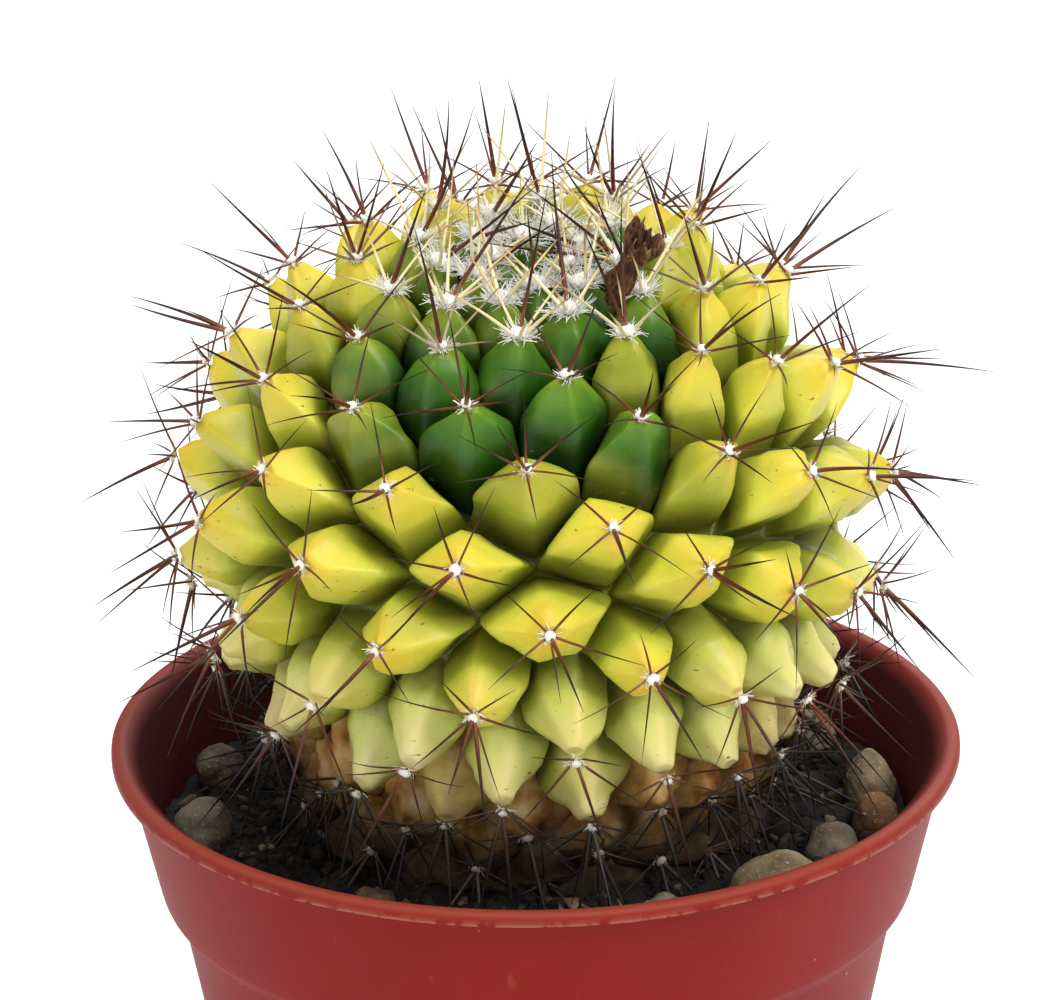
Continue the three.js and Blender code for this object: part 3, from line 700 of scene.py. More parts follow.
@dataclass(frozen=True)
class SpiralLaw:
    """Where the tubercles grow on the leaning stem.

    The surface through the tips is a rounded ellipsoid with a dimpled crown, leaned forwards, that runs
    into an upright neck. Angles are in degrees. A pair of numbers is where a change begins and ends: in
    pairs of tubercles for the drying, in height above the soil for the burial, in degrees for the rest.
    """

    centre: Vector = field(default_factory=lambda: Vector((0.1, -0.5, 95.2)) * MM)
    radius: float = 35.6 * MM
    upper_height: float = 29.9 * MM
    lower_height: float = 35.05 * MM
    roundness: float = 0.97
    dimple_depth: float = 2.8 * MM
    dimple_reach: float = 0.45
    lean: float = 14.2
    neck_angle: float = 124.0
    neck_ease: float = 6 * MM
    neck_step: float = 0.62 * MM
    neck_spread: float = 1600.0
    turn: float = 68.95
    start: float = -1.44
    first_pair: int = -22
    last_pair: int = 84
    growth_middle: float = 58.93
    growth_swing: float = 90.73
    growth_shift: float = 5.88
    growth_pace: float = 41.04
    full_height: float = 9 * MM
    crown_height: float = 4.2 * MM
    dried_height: float = 3.8 * MM
    buried_height: float = 0.6 * MM
    height_spread: float = 0.05
    filling_out: tuple[float, float] = (0, 26)
    crown_tilt: float = 43.0
    tilt_slope: float = 0.5
    tilt_limits: tuple[float, float] = (-12, 24)
    some_dry: tuple[float, float] = (37, 46)
    all_dry: tuple[float, float] = (44, 50)
    burial: tuple[float, float] = (-1 * MM, 3 * MM)
    shrinking_in: float = 0.3
    shade_left: tuple[float, float] = (-110, -50)
    shade_right: tuple[float, float] = (15, 60)
    shade_below: tuple[float, float] = (36, 52)
    crown_green: tuple[float, float] = (14, 26)
    green_spread: float = 0.22
    fading: tuple[float, float] = (84, 108)
    least_faded: float = 0.75
    drawing_out: tuple[float, float] = (88, 108)
    soil_level: float = 60 * MM
    root_depth: float = 2.5 * MM
    seed: int = 23

    def leaned(self, x: float, y: float, z: float) -> Vector:
        """A direction or offset in the upright stem, leaned forwards."""
        sine, cosine = math.sin(math.radians(self.lean)), math.cos(math.radians(self.lean))
        return Vector((x, y * cosine - z * sine, y * sine + z * cosine))

    def surface(self, polar: float, azimuth: float, drop: float = 0.0) -> tuple[Vector, Vector, Vector]:
        """A place on the surface through the tips.

        Args:
            polar: Angle from the crown, in degrees.
            azimuth: Angle round the crown from the front, in degrees.
            drop: Extra way down the neck.

        Returns:
            The place, the outward direction and the direction away from the crown.
        """
        t, around = math.radians(polar), math.radians(azimuth - 90)
        height = self.upper_height if polar < 90 else self.lower_height
        dimple = self.dimple_depth * math.exp(-((t / self.dimple_reach) ** 2))
        reach = self.radius * max(math.sin(t), 0.0) ** self.roundness
        point = self.centre + self.leaned(
            reach * math.cos(around), reach * math.sin(around), height * math.cos(t) - dimple)
        outward = self.leaned(math.sin(t) * math.cos(around) / self.radius,
                              math.sin(t) * math.sin(around) / self.radius,
                              math.cos(t) / height).normalized()
        down = self.leaned(self.radius * math.cos(t) * math.cos(around),
                           self.radius * math.cos(t) * math.sin(around),
                           -height * math.sin(t)).normalized()
        if drop > 0:
            share = 1 - math.exp(-drop / self.neck_ease)
            along = self.neck_ease * share
            point = point + down * along - Vector((0, 0, drop - along))
            level = Vector((outward.x, outward.y, 0)).normalized()
            outward = outward.lerp(level, share).normalized()
            down = down.lerp(Vector((0, 0, -1)), share).normalized()
        return point, outward, down

    def tubercle(self, pair: int, half: int, chance: random.Random) -> Tubercle:
        """Works out one tubercle.

        Args:
            pair: The pair's number, lowest at the crown.
            half: 0 or 1, for the two sides of the pair.
            chance: The source of small differences between tubercles.

        Returns:
            The tubercle.
        """
        middle, swing, shift, pace = (
            self.growth_middle, self.growth_swing, self.growth_shift, self.growth_pace)
        neck_pair = shift + pace * math.atanh((self.neck_angle - middle) / swing)
        polar = min(self.neck_angle, middle + swing * math.tanh((pair - shift) / pace))
        drop = max(0.0, pair - neck_pair) * self.neck_step
        azimuth = self.start - pair * self.turn + half * 180
        point, outward, down = self.surface(polar, azimuth, drop)
        front = (azimuth + 180) % 360 - 180
        level = point.z - self.soil_level
        dried = ease(pair, *self.some_dry) * mix(1, ease(chance.random(), 0.1, 0.6), 0.5)
        dried = max(dried, ease(pair, *self.all_dry))
        buried = 1 - ease(level, *self.burial)
        fresh = mix(self.crown_height, self.full_height, ease(polar, *self.filling_out))
        height = mix(mix(fresh, self.dried_height, dried), self.buried_height, buried)
        height *= 1 + self.height_spread * (chance.random() - 0.5)
        least, most = self.tilt_limits
        tilt = math.radians(min(max(self.crown_tilt - self.tilt_slope * polar, least), most))
        axis = (outward * math.cos(tilt) - down * math.sin(tilt)).normalized()
        inward = Vector((0, 0, buried * 0.8)) - outward
        sunk = max(dried, buried) * (self.full_height - height) * self.shrinking_in
        tip = point + inward.normalized() * sunk
        sector = ease(front, *self.shade_left) * (1 - ease(front, *self.shade_right))
        green = max(sector * (1 - ease(polar, *self.shade_below)), 1 - ease(polar, *self.crown_green))
        spread = math.radians(polar + self.neck_spread * drop)
        around = math.radians(azimuth - 90)
        return Tubercle(
            tip=tip, foot=tip - axis * height, axis=axis, up=-down, polar=polar, height=height,
            ball=Vector((math.sin(spread) * math.cos(around), math.sin(spread) * math.sin(around),
                         math.cos(spread))),
            dried=dried, green=min(1.0, green + self.green_spread * chance.random()),
            pale=ease(polar, *self.fading) * mix(self.least_faded, 1, chance.random()),
            beak=ease(polar, *self.drawing_out))

    def tubercles(self) -> list[Tubercle]:
        """Every tubercle from the crown to the root, the youngest first."""
        chance = random.Random(self.seed)
        pairs = range(self.first_pair, self.last_pair + 1)
        found = [self.tubercle(pair, half, chance) for pair in pairs for half in (0, 1)]
        return [t for t in found if t.tip.z > self.soil_level - self.root_depth]


# ---- Stem ------------------------------------------------------------------------------------------


@dataclass(frozen=True)
class SkinRing:
    """One ring of a tubercle, between its tip and the crevice round it.

    out is the share of the way out; flank, keel and beak are the shares of the way down on a flank, on a
    keel, and anywhere on a drawn-out lower tubercle.
    """

    out: float
    flank: float
    keel: float
    beak: float


@dataclass
class Stem:
    """The stem's skin: one closed surface, from a net of crevices up to the tip of every tubercle.

    The crumple's wide lumps and fine wrinkles are noise of the given height and width.
    """

    law: SpiralLaw
    finish: LivingSkin
    rings: tuple[SkinRing, ...] = (
        SkinRing(0.99, 0.8, 0.74, 0.84),
        SkinRing(0.94, 0.5, 0.42, 0.64),
        SkinRing(0.6, 0.28, 0.16, 0.42),
        SkinRing(0.24, 0.09, 0.03, 0.14),
    )
    crevice_sharpness: float = 0.85
    ridge_sharpness: float = 0.45
    corner_fit: float = 0.8
    subdivisions: int = 2
    wrinkle: float = 1.1 * MM
    wrinkle_width: float = 2.2 * MM
    lump: float = 1.5 * MM
    lump_width: float = 5 * MM

    def net(self, found: list[Tubercle]) -> bpy.types.Object:
        """Builds the net of crevices: a corner where three tubercles meet, and a face for each tubercle.

        The hull of the tubercles' places on a unit ball tells which three meet.

        Args:
            found: The tubercles.

        Returns:
            The net, with the tubercles' traits stored on its faces.
        """
        hull = bmesh.new()
        balls = [hull.verts.new(t.ball) for t in found]
        hull.verts.index_update()
        bmesh.ops.convex_hull(hull, input=balls)
        hull.faces.index_update()
        corners = [self.corner([found[v.index].foot for v in face.verts]) for face in hull.faces]
        cells = [self.cell(ball) for ball in balls]
        hull.free()
        mesh = bpy.data.meshes.new("crevice_net")
        mesh.from_pydata([tuple(c) for c in corners], [], cells)
        for label in ("tip", "axis", "up"):
            layer = mesh.attributes.new(label, "FLOAT_VECTOR", "FACE")
            layer.data.foreach_set("vector", [c for t in found for c in getattr(t, label)])
        for label in ("green", "pale", "dried", "beak"):
            layer = mesh.attributes.new(label, "FLOAT", "FACE")
            layer.data.foreach_set("value", [getattr(t, label) for t in found])
        return place_mesh("crevice_net", mesh, None)

    def corner(self, feet: list[Vector]) -> Vector:
        """The corner between three tubercles, about equally far from each of their feet."""
        squares = [(feet[(i + 1) % 3] - feet[(i + 2) % 3]).length_squared for i in range(3)]
        pulls = [max(0.0, square * (sum(squares) - 2 * square)) for square in squares]
        shares = [mix(1 / 3, pull / sum(pulls), self.corner_fit) for pull in pulls]
        return sum((foot * share for foot, share in zip(feet, shares)), Vector())

    @staticmethod
    def cell(ball: bmesh.types.BMVert) -> tuple[int, ...]:
        """The corners round one tubercle, in order anticlockwise as seen from outside."""
        loop = ball.link_loops[0]
        order = []
        while not order or loop.face.index != order[0]:
            order.append(loop.face.index)
            loop = loop.link_loop_prev.link_loop_radial_next
        return tuple(order)

    def tree(self) -> GrowthTree:
        """Draws the tree that draws every face of the net out, ring by ring, to its tubercle's tip.

        Returns:
            The tree.
        """
        tree = GrowthTree("tubercle_skin", {
            "Subdivisions": self.subdivisions, "Crevice Sharpness": self.crevice_sharpness,
            "Ridge Sharpness": self.ridge_sharpness, "Wrinkle": self.wrinkle, "Lump": self.lump})
        net: object = tree.size("Geometry")
        place = tree.add("GeometryNodeInputPosition")
        net = tree.add("GeometryNodeStoreNamedAttribute", {"Geometry": net, "Name": "corner",
                                                           "Value": place},
                       data_type="FLOAT_VECTOR", domain="CORNER")
        net = tree.add("GeometryNodeStoreNamedAttribute", {"Geometry": net, "Name": "out", "Value": 1.0},
                       data_type="FLOAT", domain="POINT")
        grown: object = net
        top: object = None
        for ring in self.rings:
            grown, top = self.draw_ring(tree, grown, top, ring)
        grown = tree.add("GeometryNodeExtrudeMesh", {
            "Mesh": grown, "Selection": top, "Offset Scale": 0.0, "Individual": True}, mode="FACES")
        tip = grown.outputs["Top"]
        grown = tree.add("GeometryNodeScaleElements", {"Geometry": grown.outputs["Mesh"], "Selection": tip,
                                                       "Scale": 0.3}, domain="FACE")
        out = tree.read("out")
        crease = tree.add("ShaderNodeMath", {0: out, 1: 0.99}, operation="GREATER_THAN")
        sharp = tree.add("ShaderNodeMix", {"Factor": crease, "A": tree.size("Ridge Sharpness"),
                                           "B": tree.size("Crevice Sharpness")}, data_type="FLOAT")
        smooth = tree.add("GeometryNodeSubdivisionSurface", {
            "Mesh": grown, "Level": tree.size("Subdivisions"), "Edge Crease": sharp})
        place = tree.add("GeometryNodeInputPosition")
        wave = tree.add("ShaderNodeTexNoise", {"Vector": place, "Scale": 1 / self.wrinkle_width,
                                               "Detail": 3.0})
        lump = tree.add("ShaderNodeTexNoise", {"Vector": place, "Scale": 1 / self.lump_width,
                                               "Detail": 1.0})
        lump = tree.add("ShaderNodeMath", {0: lump.outputs[0], 1: -0.5}, operation="ADD")
        lump = tree.add("ShaderNodeMath", {0: lump, 1: tree.size("Lump")}, operation="MULTIPLY")
        deep = tree.add("ShaderNodeMath", {0: wave.outputs[0], 1: -0.5}, operation="ADD")
        aged = tree.add("ShaderNodeMath", {0: tree.read("pale"), 1: 0.7, 2: 0.14}, operation="MULTIPLY_ADD")
        share = tree.add("ShaderNodeMath", {0: tree.read("dried"), 1: aged}, operation="ADD")
        deep = tree.add("ShaderNodeMath", {0: deep, 1: share}, operation="MULTIPLY")
        deep = tree.add("ShaderNodeMath", {0: deep, 1: tree.size("Wrinkle"), 2: lump},
                        operation="MULTIPLY_ADD")
        normal = tree.add("GeometryNodeInputNormal")
        offset = tree.add("ShaderNodeVectorMath", {0: normal, "Scale": deep}, operation="SCALE")
        tree.finish(tree.add("GeometryNodeSetPosition", {"Geometry": smooth, "Offset": offset}))
        return tree

    @staticmethod
    def draw_ring(tree: GrowthTree, mesh: object, top: object, ring: SkinRing) -> tuple:
        """Draws every tubercle's face out to one ring.

        Args:
            tree: The tree being drawn.
            mesh: The mesh so far.
            top: The faces drawn out last, or None for all of them.
            ring: Where the ring lies.

        Returns:
            The mesh and the socket that selects its new faces.
        """
        inputs = {"Mesh": mesh, "Offset Scale": 0.0, "Individual": True}
        if top is not None:
            inputs["Selection"] = top
        grown = tree.add("GeometryNodeExtrudeMesh", inputs, mode="FACES")
        top = grown.outputs["Top"]
        axis, tip, up = (tree.read(name, "FLOAT_VECTOR") for name in ("axis", "tip", "up"))
        corner = tree.read("corner", "FLOAT_VECTOR")
        towards = tree.add("ShaderNodeVectorMath", {0: corner, 1: tip}, operation="SUBTRACT")
        fall = tree.add("ShaderNodeVectorMath", {0: towards, 1: axis}, operation="DOT_PRODUCT").outputs[1]
        drop = tree.add("ShaderNodeVectorMath", {0: axis, "Scale": fall}, operation="SCALE")
        sideways = tree.add("ShaderNodeVectorMath", {0: towards, 1: drop}, operation="SUBTRACT")
        unit = tree.add("ShaderNodeVectorMath", {0: sideways}, operation="NORMALIZE")
        lift = tree.add("ShaderNodeVectorMath", {0: unit, 1: up}, operation="DOT_PRODUCT").outputs[1]
        keel = tree.add("ShaderNodeMath", {0: lift, 1: 4.0}, operation="POWER")
        down = tree.add("ShaderNodeMix", {"Factor": keel, "A": ring.flank, "B": ring.keel},
                        data_type="FLOAT")
        down = tree.add("ShaderNodeMix", {"Factor": tree.read("beak"), "A": down, "B": ring.beak},
                        data_type="FLOAT")
        away = tree.add("ShaderNodeVectorMath", {0: sideways, "Scale": ring.out}, operation="SCALE")
        share = tree.add("ShaderNodeVectorMath", {0: drop, "Scale": down}, operation="SCALE")
        place = tree.add("ShaderNodeVectorMath", {0: tip, 1: away}, operation="ADD")
        place = tree.add("ShaderNodeVectorMath", {0: place, 1: share}, operation="ADD")
        moved = tree.add("GeometryNodeSetPosition", {"Geometry": grown.outputs["Mesh"], "Selection": top,
                                                     "Position": place})
        marked = tree.add("GeometryNodeStoreNamedAttribute", {
            "Geometry": moved, "Selection": top, "Name": "out", "Value": ring.out},
            data_type="FLOAT", domain="POINT")
        keeled = tree.add("GeometryNodeStoreNamedAttribute", {
            "Geometry": marked, "Selection": top, "Name": "keel", "Value": keel},
            data_type="FLOAT", domain="POINT")
        return keeled, top

    def build(self) -> bpy.types.Object:
        """Grows the skin.

        Returns:
            The stem's mesh object.
        """
        found = self.law.tubercles()
        return self.tree().grow(self.net(found), "stem_skin", self.finish.material(),
                                Subdivisions=self.subdivisions,
                                Crevice_Sharpness=self.crevice_sharpness,
                                Ridge_Sharpness=self.ridge_sharpness, Wrinkle=self.wrinkle,
                                Lump=self.lump)


# ---- Bristles: spines, wool and felt ---------------------------------------------------------------


@dataclass(frozen=True)
class Root:
    """Where one bristle starts, and how it is turned, sized and coloured."""

    place: Vector
    direction: Vector
    bend: Vector
    length: float
    width: float
    traits: dict[str, float]


@dataclass
class Bristles:
    """Many tapered, bent bristles grown from their roots."""

    name: str
    roots: list[Root]
    material: bpy.types.Material
    sides: int = 5
    steps: int = 7
    point_share: float = 0.1

    def tree(self) -> GrowthTree:
        """Draws the tree: a tapered awl on every root, turned to its direction and then bent.

        Returns:
            The tree.
        """
        tree = GrowthTree(self.name + "_growth", {"Sides": self.sides, "Steps": self.steps,
                                                  "Point Share": self.point_share})
        line = tree.add("GeometryNodeCurvePrimitiveLine", {"End": (0.0, 0.0, 1.0)})
        line = tree.add("GeometryNodeResampleCurve", {"Curve": line, "Count": tree.size("Steps")})
        along = tree.add("GeometryNodeSplineParameter").outputs["Factor"]
        line = tree.add("GeometryNodeStoreNamedAttribute", {"Geometry": line, "Name": "along",
                                                            "Value": along},
                        data_type="FLOAT", domain="POINT")
        slim = tree.add("ShaderNodeMath", {0: along, 1: 1.4}, operation="POWER")
        width = tree.add("ShaderNodeMapRange", {"Value": slim, "To Min": 1.0,
                                                "To Max": tree.size("Point Share")})
        ring = tree.add("GeometryNodeCurvePrimitiveCircle", {"Resolution": tree.size("Sides"),
                                                             "Radius": 1.0})
        awl = tree.add("GeometryNodeCurveToMesh", {"Curve": line, "Profile Curve": ring, "Scale": width,
                                                   "Fill Caps": True})
        turned = tree.add("FunctionNodeAlignRotationToVector", {
            "Vector": tree.read("direction", "FLOAT_VECTOR")}, axis="Z")
        size = tree.add("ShaderNodeCombineXYZ", {"X": tree.read("width"), "Y": tree.read("width"),
                                                 "Z": tree.read("length")})
        grown = tree.add("GeometryNodeInstanceOnPoints", {"Points": tree.size("Geometry"), "Instance": awl,
                                                          "Rotation": turned, "Scale": size})
        real = tree.add("GeometryNodeRealizeInstances", {"Geometry": grown})
        square = tree.add("ShaderNodeMath", {0: tree.read("along"), 1: 2.0}, operation="POWER")
        bend = tree.add("ShaderNodeVectorMath", {0: tree.read("bend", "FLOAT_VECTOR"), "Scale": square},
                        operation="SCALE")
        tree.finish(tree.add("GeometryNodeSetPosition", {"Geometry": real, "Offset": bend}))
        return tree

    def build(self) -> bpy.types.Object:
        """Grows the bristles.

        Returns:
            Their mesh object.
        """
        traits: dict[str, list] = {
            "direction": [r.direction for r in self.roots], "bend": [r.bend for r in self.roots],
            "length": [r.length for r in self.roots], "width": [r.width for r in self.roots]}
        for label in self.roots[0].traits:
            traits[label] = [r.traits[label] for r in self.roots]
        source = point_cloud(self.name + "_roots", [r.place for r in self.roots], traits)
        return self.tree().grow(source, self.name, self.material, Sides=self.sides, Steps=self.steps,
                                Point_Share=self.point_share)


@dataclass
class Armour:
    """The spines of every areole: radials round the rim of the felt, and one or more stout centrals.

    Angles are in degrees. A zone is where a change down the stem begins and ends, measured from the crown.
    """

    finish: SpineHorn
    radials: tuple[int, int] = (4, 6)
    radials_missing: int = 3
    radials_extra: int = 2
    radial_length: float = 7.8 * MM
    radial_width: float = 0.14 * MM
    radial_rise: tuple[float, float] = (14, 38)
    radial_turn: float = 25
    radial_stray: float = 12
    radial_ring: float = 0.6 * MM
    central_length: float = 10.6 * MM
    central_width: float = 0.22 * MM
    central_lean: tuple[float, float] = (-34, 40)
    central_stray: float = 16
    central_sway: float = 18
    central_step: float = 20
    second_central: float = 0.25
    bare_polar: float = 12
    bare_share: float = 0.6
    crown_stretch: float = 1.3
    crown_thickness: float = 1.5
    crown_rise: float = 30
    newest_length: float = 0.5
    crown_zone: tuple[float, float] = (8, 42)
    newest_zone: tuple[float, float] = (3, 14)
    sparse_zone: tuple[float, float] = (8, 20)
    weathered_zone: tuple[float, float] = (104, 118)
    straw_coloured: tuple[float, float] = (0.3, 0.7)
    sunk: float = 0.3 * MM
    seed: int = 71

    def roots(self, found: list[Tubercle]) -> list[Root]:
        """Places the spines of some tubercles.

        Args:
            found: The tubercles.

        Returns:
            Their spines' roots.
        """
        chance = random.Random(self.seed)
        roots = []
        for own in found:
            crown = 1 - ease(own.polar, *self.crown_zone)
            newest = 1 - ease(own.polar, *self.newest_zone)
            old = max(own.dried, ease(own.polar, *self.weathered_zone))
            right = own.up.cross(own.axis).normalized()
            up = own.axis.cross(right)
            missing = round(self.radials_missing * (1 - ease(own.polar, *self.sparse_zone)))
            count = chance.randint(*self.radials) - missing + round(self.radials_extra * old)
            turn = chance.uniform(-self.radial_turn, self.radial_turn)
            stretch = mix(1, self.crown_stretch, crown) * mix(1, self.newest_length, newest)
            traits = {"young": ease(crown, *self.straw_coloured), "old": old}
            for number in range(count):
                stray = chance.uniform(-self.radial_stray, self.radial_stray)
                around = math.radians(90 + turn + 360 * (number + 0.5) / count + stray)
                rise = math.radians(chance.uniform(*self.radial_rise) + self.crown_rise * crown)
                side = right * math.cos(around) + up * math.sin(around)
                length = self.radial_length * stretch * chance.uniform(0.7, 1.2)
                place = own.tip + side * self.radial_ring * chance.uniform(0.6, 1.0) - own.axis * self.sunk
                bend = -own.axis * chance.uniform(0, 0.12) + up * chance.uniform(-0.12, 0.12)
                width = self.radial_width * chance.uniform(0.8, 1.15) * mix(1, self.crown_thickness, crown)
                roots.append(Root(place, side * math.cos(rise) + own.axis * math.sin(rise), bend * length,
                                  length, width, traits))
            second = chance.random() < self.second_central
            bare = own.polar < self.bare_polar and chance.random() < self.bare_share
            for number in range(1 + second + round(old) - bare):
                stray = chance.uniform(-self.central_stray, self.central_stray)
                lean = math.radians(mix(*self.central_lean, crown) + stray + self.central_step * number)
                sway = math.radians(chance.uniform(-self.central_sway, self.central_sway))
                way = right * math.sin(sway) + up * math.sin(lean) + own.axis * math.cos(lean)
                length = self.central_length * stretch * chance.uniform(0.75, 1.25)
                bend = up * length * chance.uniform(-0.16, 0.1)
                roots.append(Root(own.tip - own.axis * self.sunk, way.normalized(), bend, length,
                                  self.central_width * chance.uniform(0.85, 1.2), traits | {"young": 0.0}))
        return roots


@dataclass
class Wool:
    """Cottony hairs: a felt tuft on every areole, thick tufts at the crown, wisps in a few crevices."""

    hair_width: float = 0.06 * MM
    felt_radius: float = 0.6 * MM
    felt_hairs: int = 40
    felt_length: float = 0.55 * MM
    crown_radius: float = 1.6 * MM
    crown_hairs: int = 190
    crown_length: float = 1.35 * MM
    crown_zone: tuple[float, float] = (9, 34)
    newest_zone: tuple[float, float] = (0, 9)
    dusty_zone: tuple[float, float] = (90, 110)
    sunk: float = 0.35 * MM
    wisp_zone: tuple[float, float] = (34, 100)
    wisp_share: float = 0.12
    wisp_hairs: int = 30
    wisp_radius: float = 0.9 * MM
    wisp_length: float = 1.8 * MM
    wisp_drop: float = 4.6 * MM
    wisp_depth: float = 7.2 * MM
    seed: int = 37

    def tuft(self, chance: random.Random, centre: Vector, axis: Vector, radius: float, hairs: int,
             length: float, dusty: float) -> list[Root]:
        """Places the hairs of one round tuft.

        Args:
            chance: The source of differences between hairs.
            centre: The tuft's middle.
            axis: The direction it faces.
            radius: Its radius.
            hairs: How many hairs it has.
            length: Their length.
            dusty: 0 for clean white, 1 for dusty grey-tan.

        Returns:
            The hairs' roots.
        """
        roots = []
        side = axis.orthogonal().normalized()
        for _ in range(hairs):
            away = math.sqrt(chance.random())
            spin = Matrix.Rotation(chance.uniform(0, math.tau), 3, axis)
            out = (spin @ side) * away
            direction = (axis * mix(1.0, 0.35, away) + out * 0.9 + self.jitter(chance) * 0.35).normalized()
            curl = self.jitter(chance) * length * 0.6
            roots.append(Root(centre + out * radius, direction, curl, length * chance.uniform(0.6, 1.15),
                              self.hair_width * chance.uniform(0.7, 1.4),
                              {"dusty": min(1.0, dusty + 0.25 * chance.random())}))
        return roots

    @staticmethod
    def jitter(chance: random.Random) -> Vector:
        """A random vector in a unit cube."""
        return Vector((chance.uniform(-1, 1), chance.uniform(-1, 1), chance.uniform(-1, 1)))

    def roots(self, found: list[Tubercle]) -> list[Root]:
        """Places all the wool.

        Args:
            found: The tubercles, youngest first.

        Returns:
            The hairs' roots.
        """
        chance = random.Random(self.seed)
        roots = []
        for own in found:
            crown = 1 - ease(own.polar, *self.crown_zone)
            opened = ease(own.polar, *self.newest_zone)
            dusty = max(0.75 * own.dried, 0.3 * ease(own.polar, *self.dusty_zone))
            hairs = round(mix(self.felt_hairs, self.crown_hairs, crown) * mix(1, 0.5, own.dried))
            radius = mix(self.felt_radius, self.crown_radius, crown) * mix(0.8, 1, opened)
            length = mix(self.felt_length, self.crown_length, crown)
            roots += self.tuft(chance, own.tip - own.axis * self.sunk, own.axis, radius, hairs, length,
                               min(1.0, dusty + 0.15 * (1 - opened)))
        for own in found:
            low, high = self.wisp_zone
            if low < own.polar < high and chance.random() < self.wisp_share:
                place = own.tip - own.up * self.wisp_drop - own.axis * self.wisp_depth
                roots += self.tuft(chance, place, (own.axis - own.up * 0.5).normalized(), self.wisp_radius,
                                   self.wisp_hairs, self.wisp_length, 0.9)
        return roots


@dataclass
class FeltPads:
    """The matted felt under the loose hairs: one small lumpy cushion on every areole."""

    radius: float = 0.52 * MM
    crown_radius: float = 1.1 * MM
    thickness: float = 0.6
    lump: float = 0.75
    lump_width: float = 0.5 * MM
    crown_zone: tuple[float, float] = (9, 34)
    newest_zone: tuple[float, float] = (0, 9)
    seed: int = 12

    def tree(self) -> GrowthTree:
        """Draws the tree: a lumpy cushion on every point, facing along its tubercle.

        Returns:
            The tree.
        """
        tree = GrowthTree("felt_growth", {"Thickness": self.thickness, "Lump": self.lump})
        ball = tree.add("GeometryNodeMeshIcoSphere", {"Radius": 1.0, "Subdivisions": 2})
        turned = tree.add("FunctionNodeAlignRotationToVector", {
            "Vector": tree.read("direction", "FLOAT_VECTOR")}, axis="Z")
        size = tree.add("ShaderNodeCombineXYZ", {"X": 1.0, "Y": 1.0, "Z": tree.size("Thickness")})
        size = tree.add("ShaderNodeVectorMath", {0: size, "Scale": tree.read("width")}, operation="SCALE")
        grown = tree.add("GeometryNodeInstanceOnPoints", {
            "Points": tree.size("Geometry"), "Instance": ball, "Rotation": turned, "Scale": size})
        real = tree.add("GeometryNodeRealizeInstances", {"Geometry": grown})
        wave = tree.add("ShaderNodeTexNoise", {"Vector": tree.add("GeometryNodeInputPosition"),
                                               "Scale": 1 / self.lump_width, "Detail": 3.0})
        high = tree.add("ShaderNodeMath", {0: wave.outputs[0], 1: -0.5}, operation="ADD")
        high = tree.add("ShaderNodeMath", {0: high, 1: tree.size("Lump")}, operation="MULTIPLY")
        high = tree.add("ShaderNodeMath", {0: high, 1: tree.read("width")}, operation="MULTIPLY")
        offset = tree.add("ShaderNodeVectorMath", {0: tree.add("GeometryNodeInputNormal"), "Scale": high},
                          operation="SCALE")
        tree.finish(tree.add("GeometryNodeSetPosition", {"Geometry": real, "Offset": offset}))
        return tree

    def build(self, found: list[Tubercle], fibre: bpy.types.Material) -> bpy.types.Object:
        """Grows a cushion on every tubercle.

        Args:
            found: The tubercles.
            fibre: The wool's material.

        Returns:
            The cushions' mesh object.
        """
        chance = random.Random(self.seed)
        crowns = [(1 - ease(t.polar, *self.crown_zone)) * mix(0.6, 1, ease(t.polar, *self.newest_zone))
                  for t in found]
        source = point_cloud("felt_points", [t.tip for t in found], {
            "direction": [t.axis for t in found],
            "width": [mix(self.radius, self.crown_radius, c) * chance.uniform(0.85, 1.15) for c in crowns],
            "dusty": [min(1.0, 0.2 + 0.8 * t.dried + 0.15 * chance.random()) for t in found]})
        return self.tree().grow(source, "felt_pads", fibre, Thickness=self.thickness, Lump=self.lump)


# ---- Pot -------------------------------------------------------------------------------------------


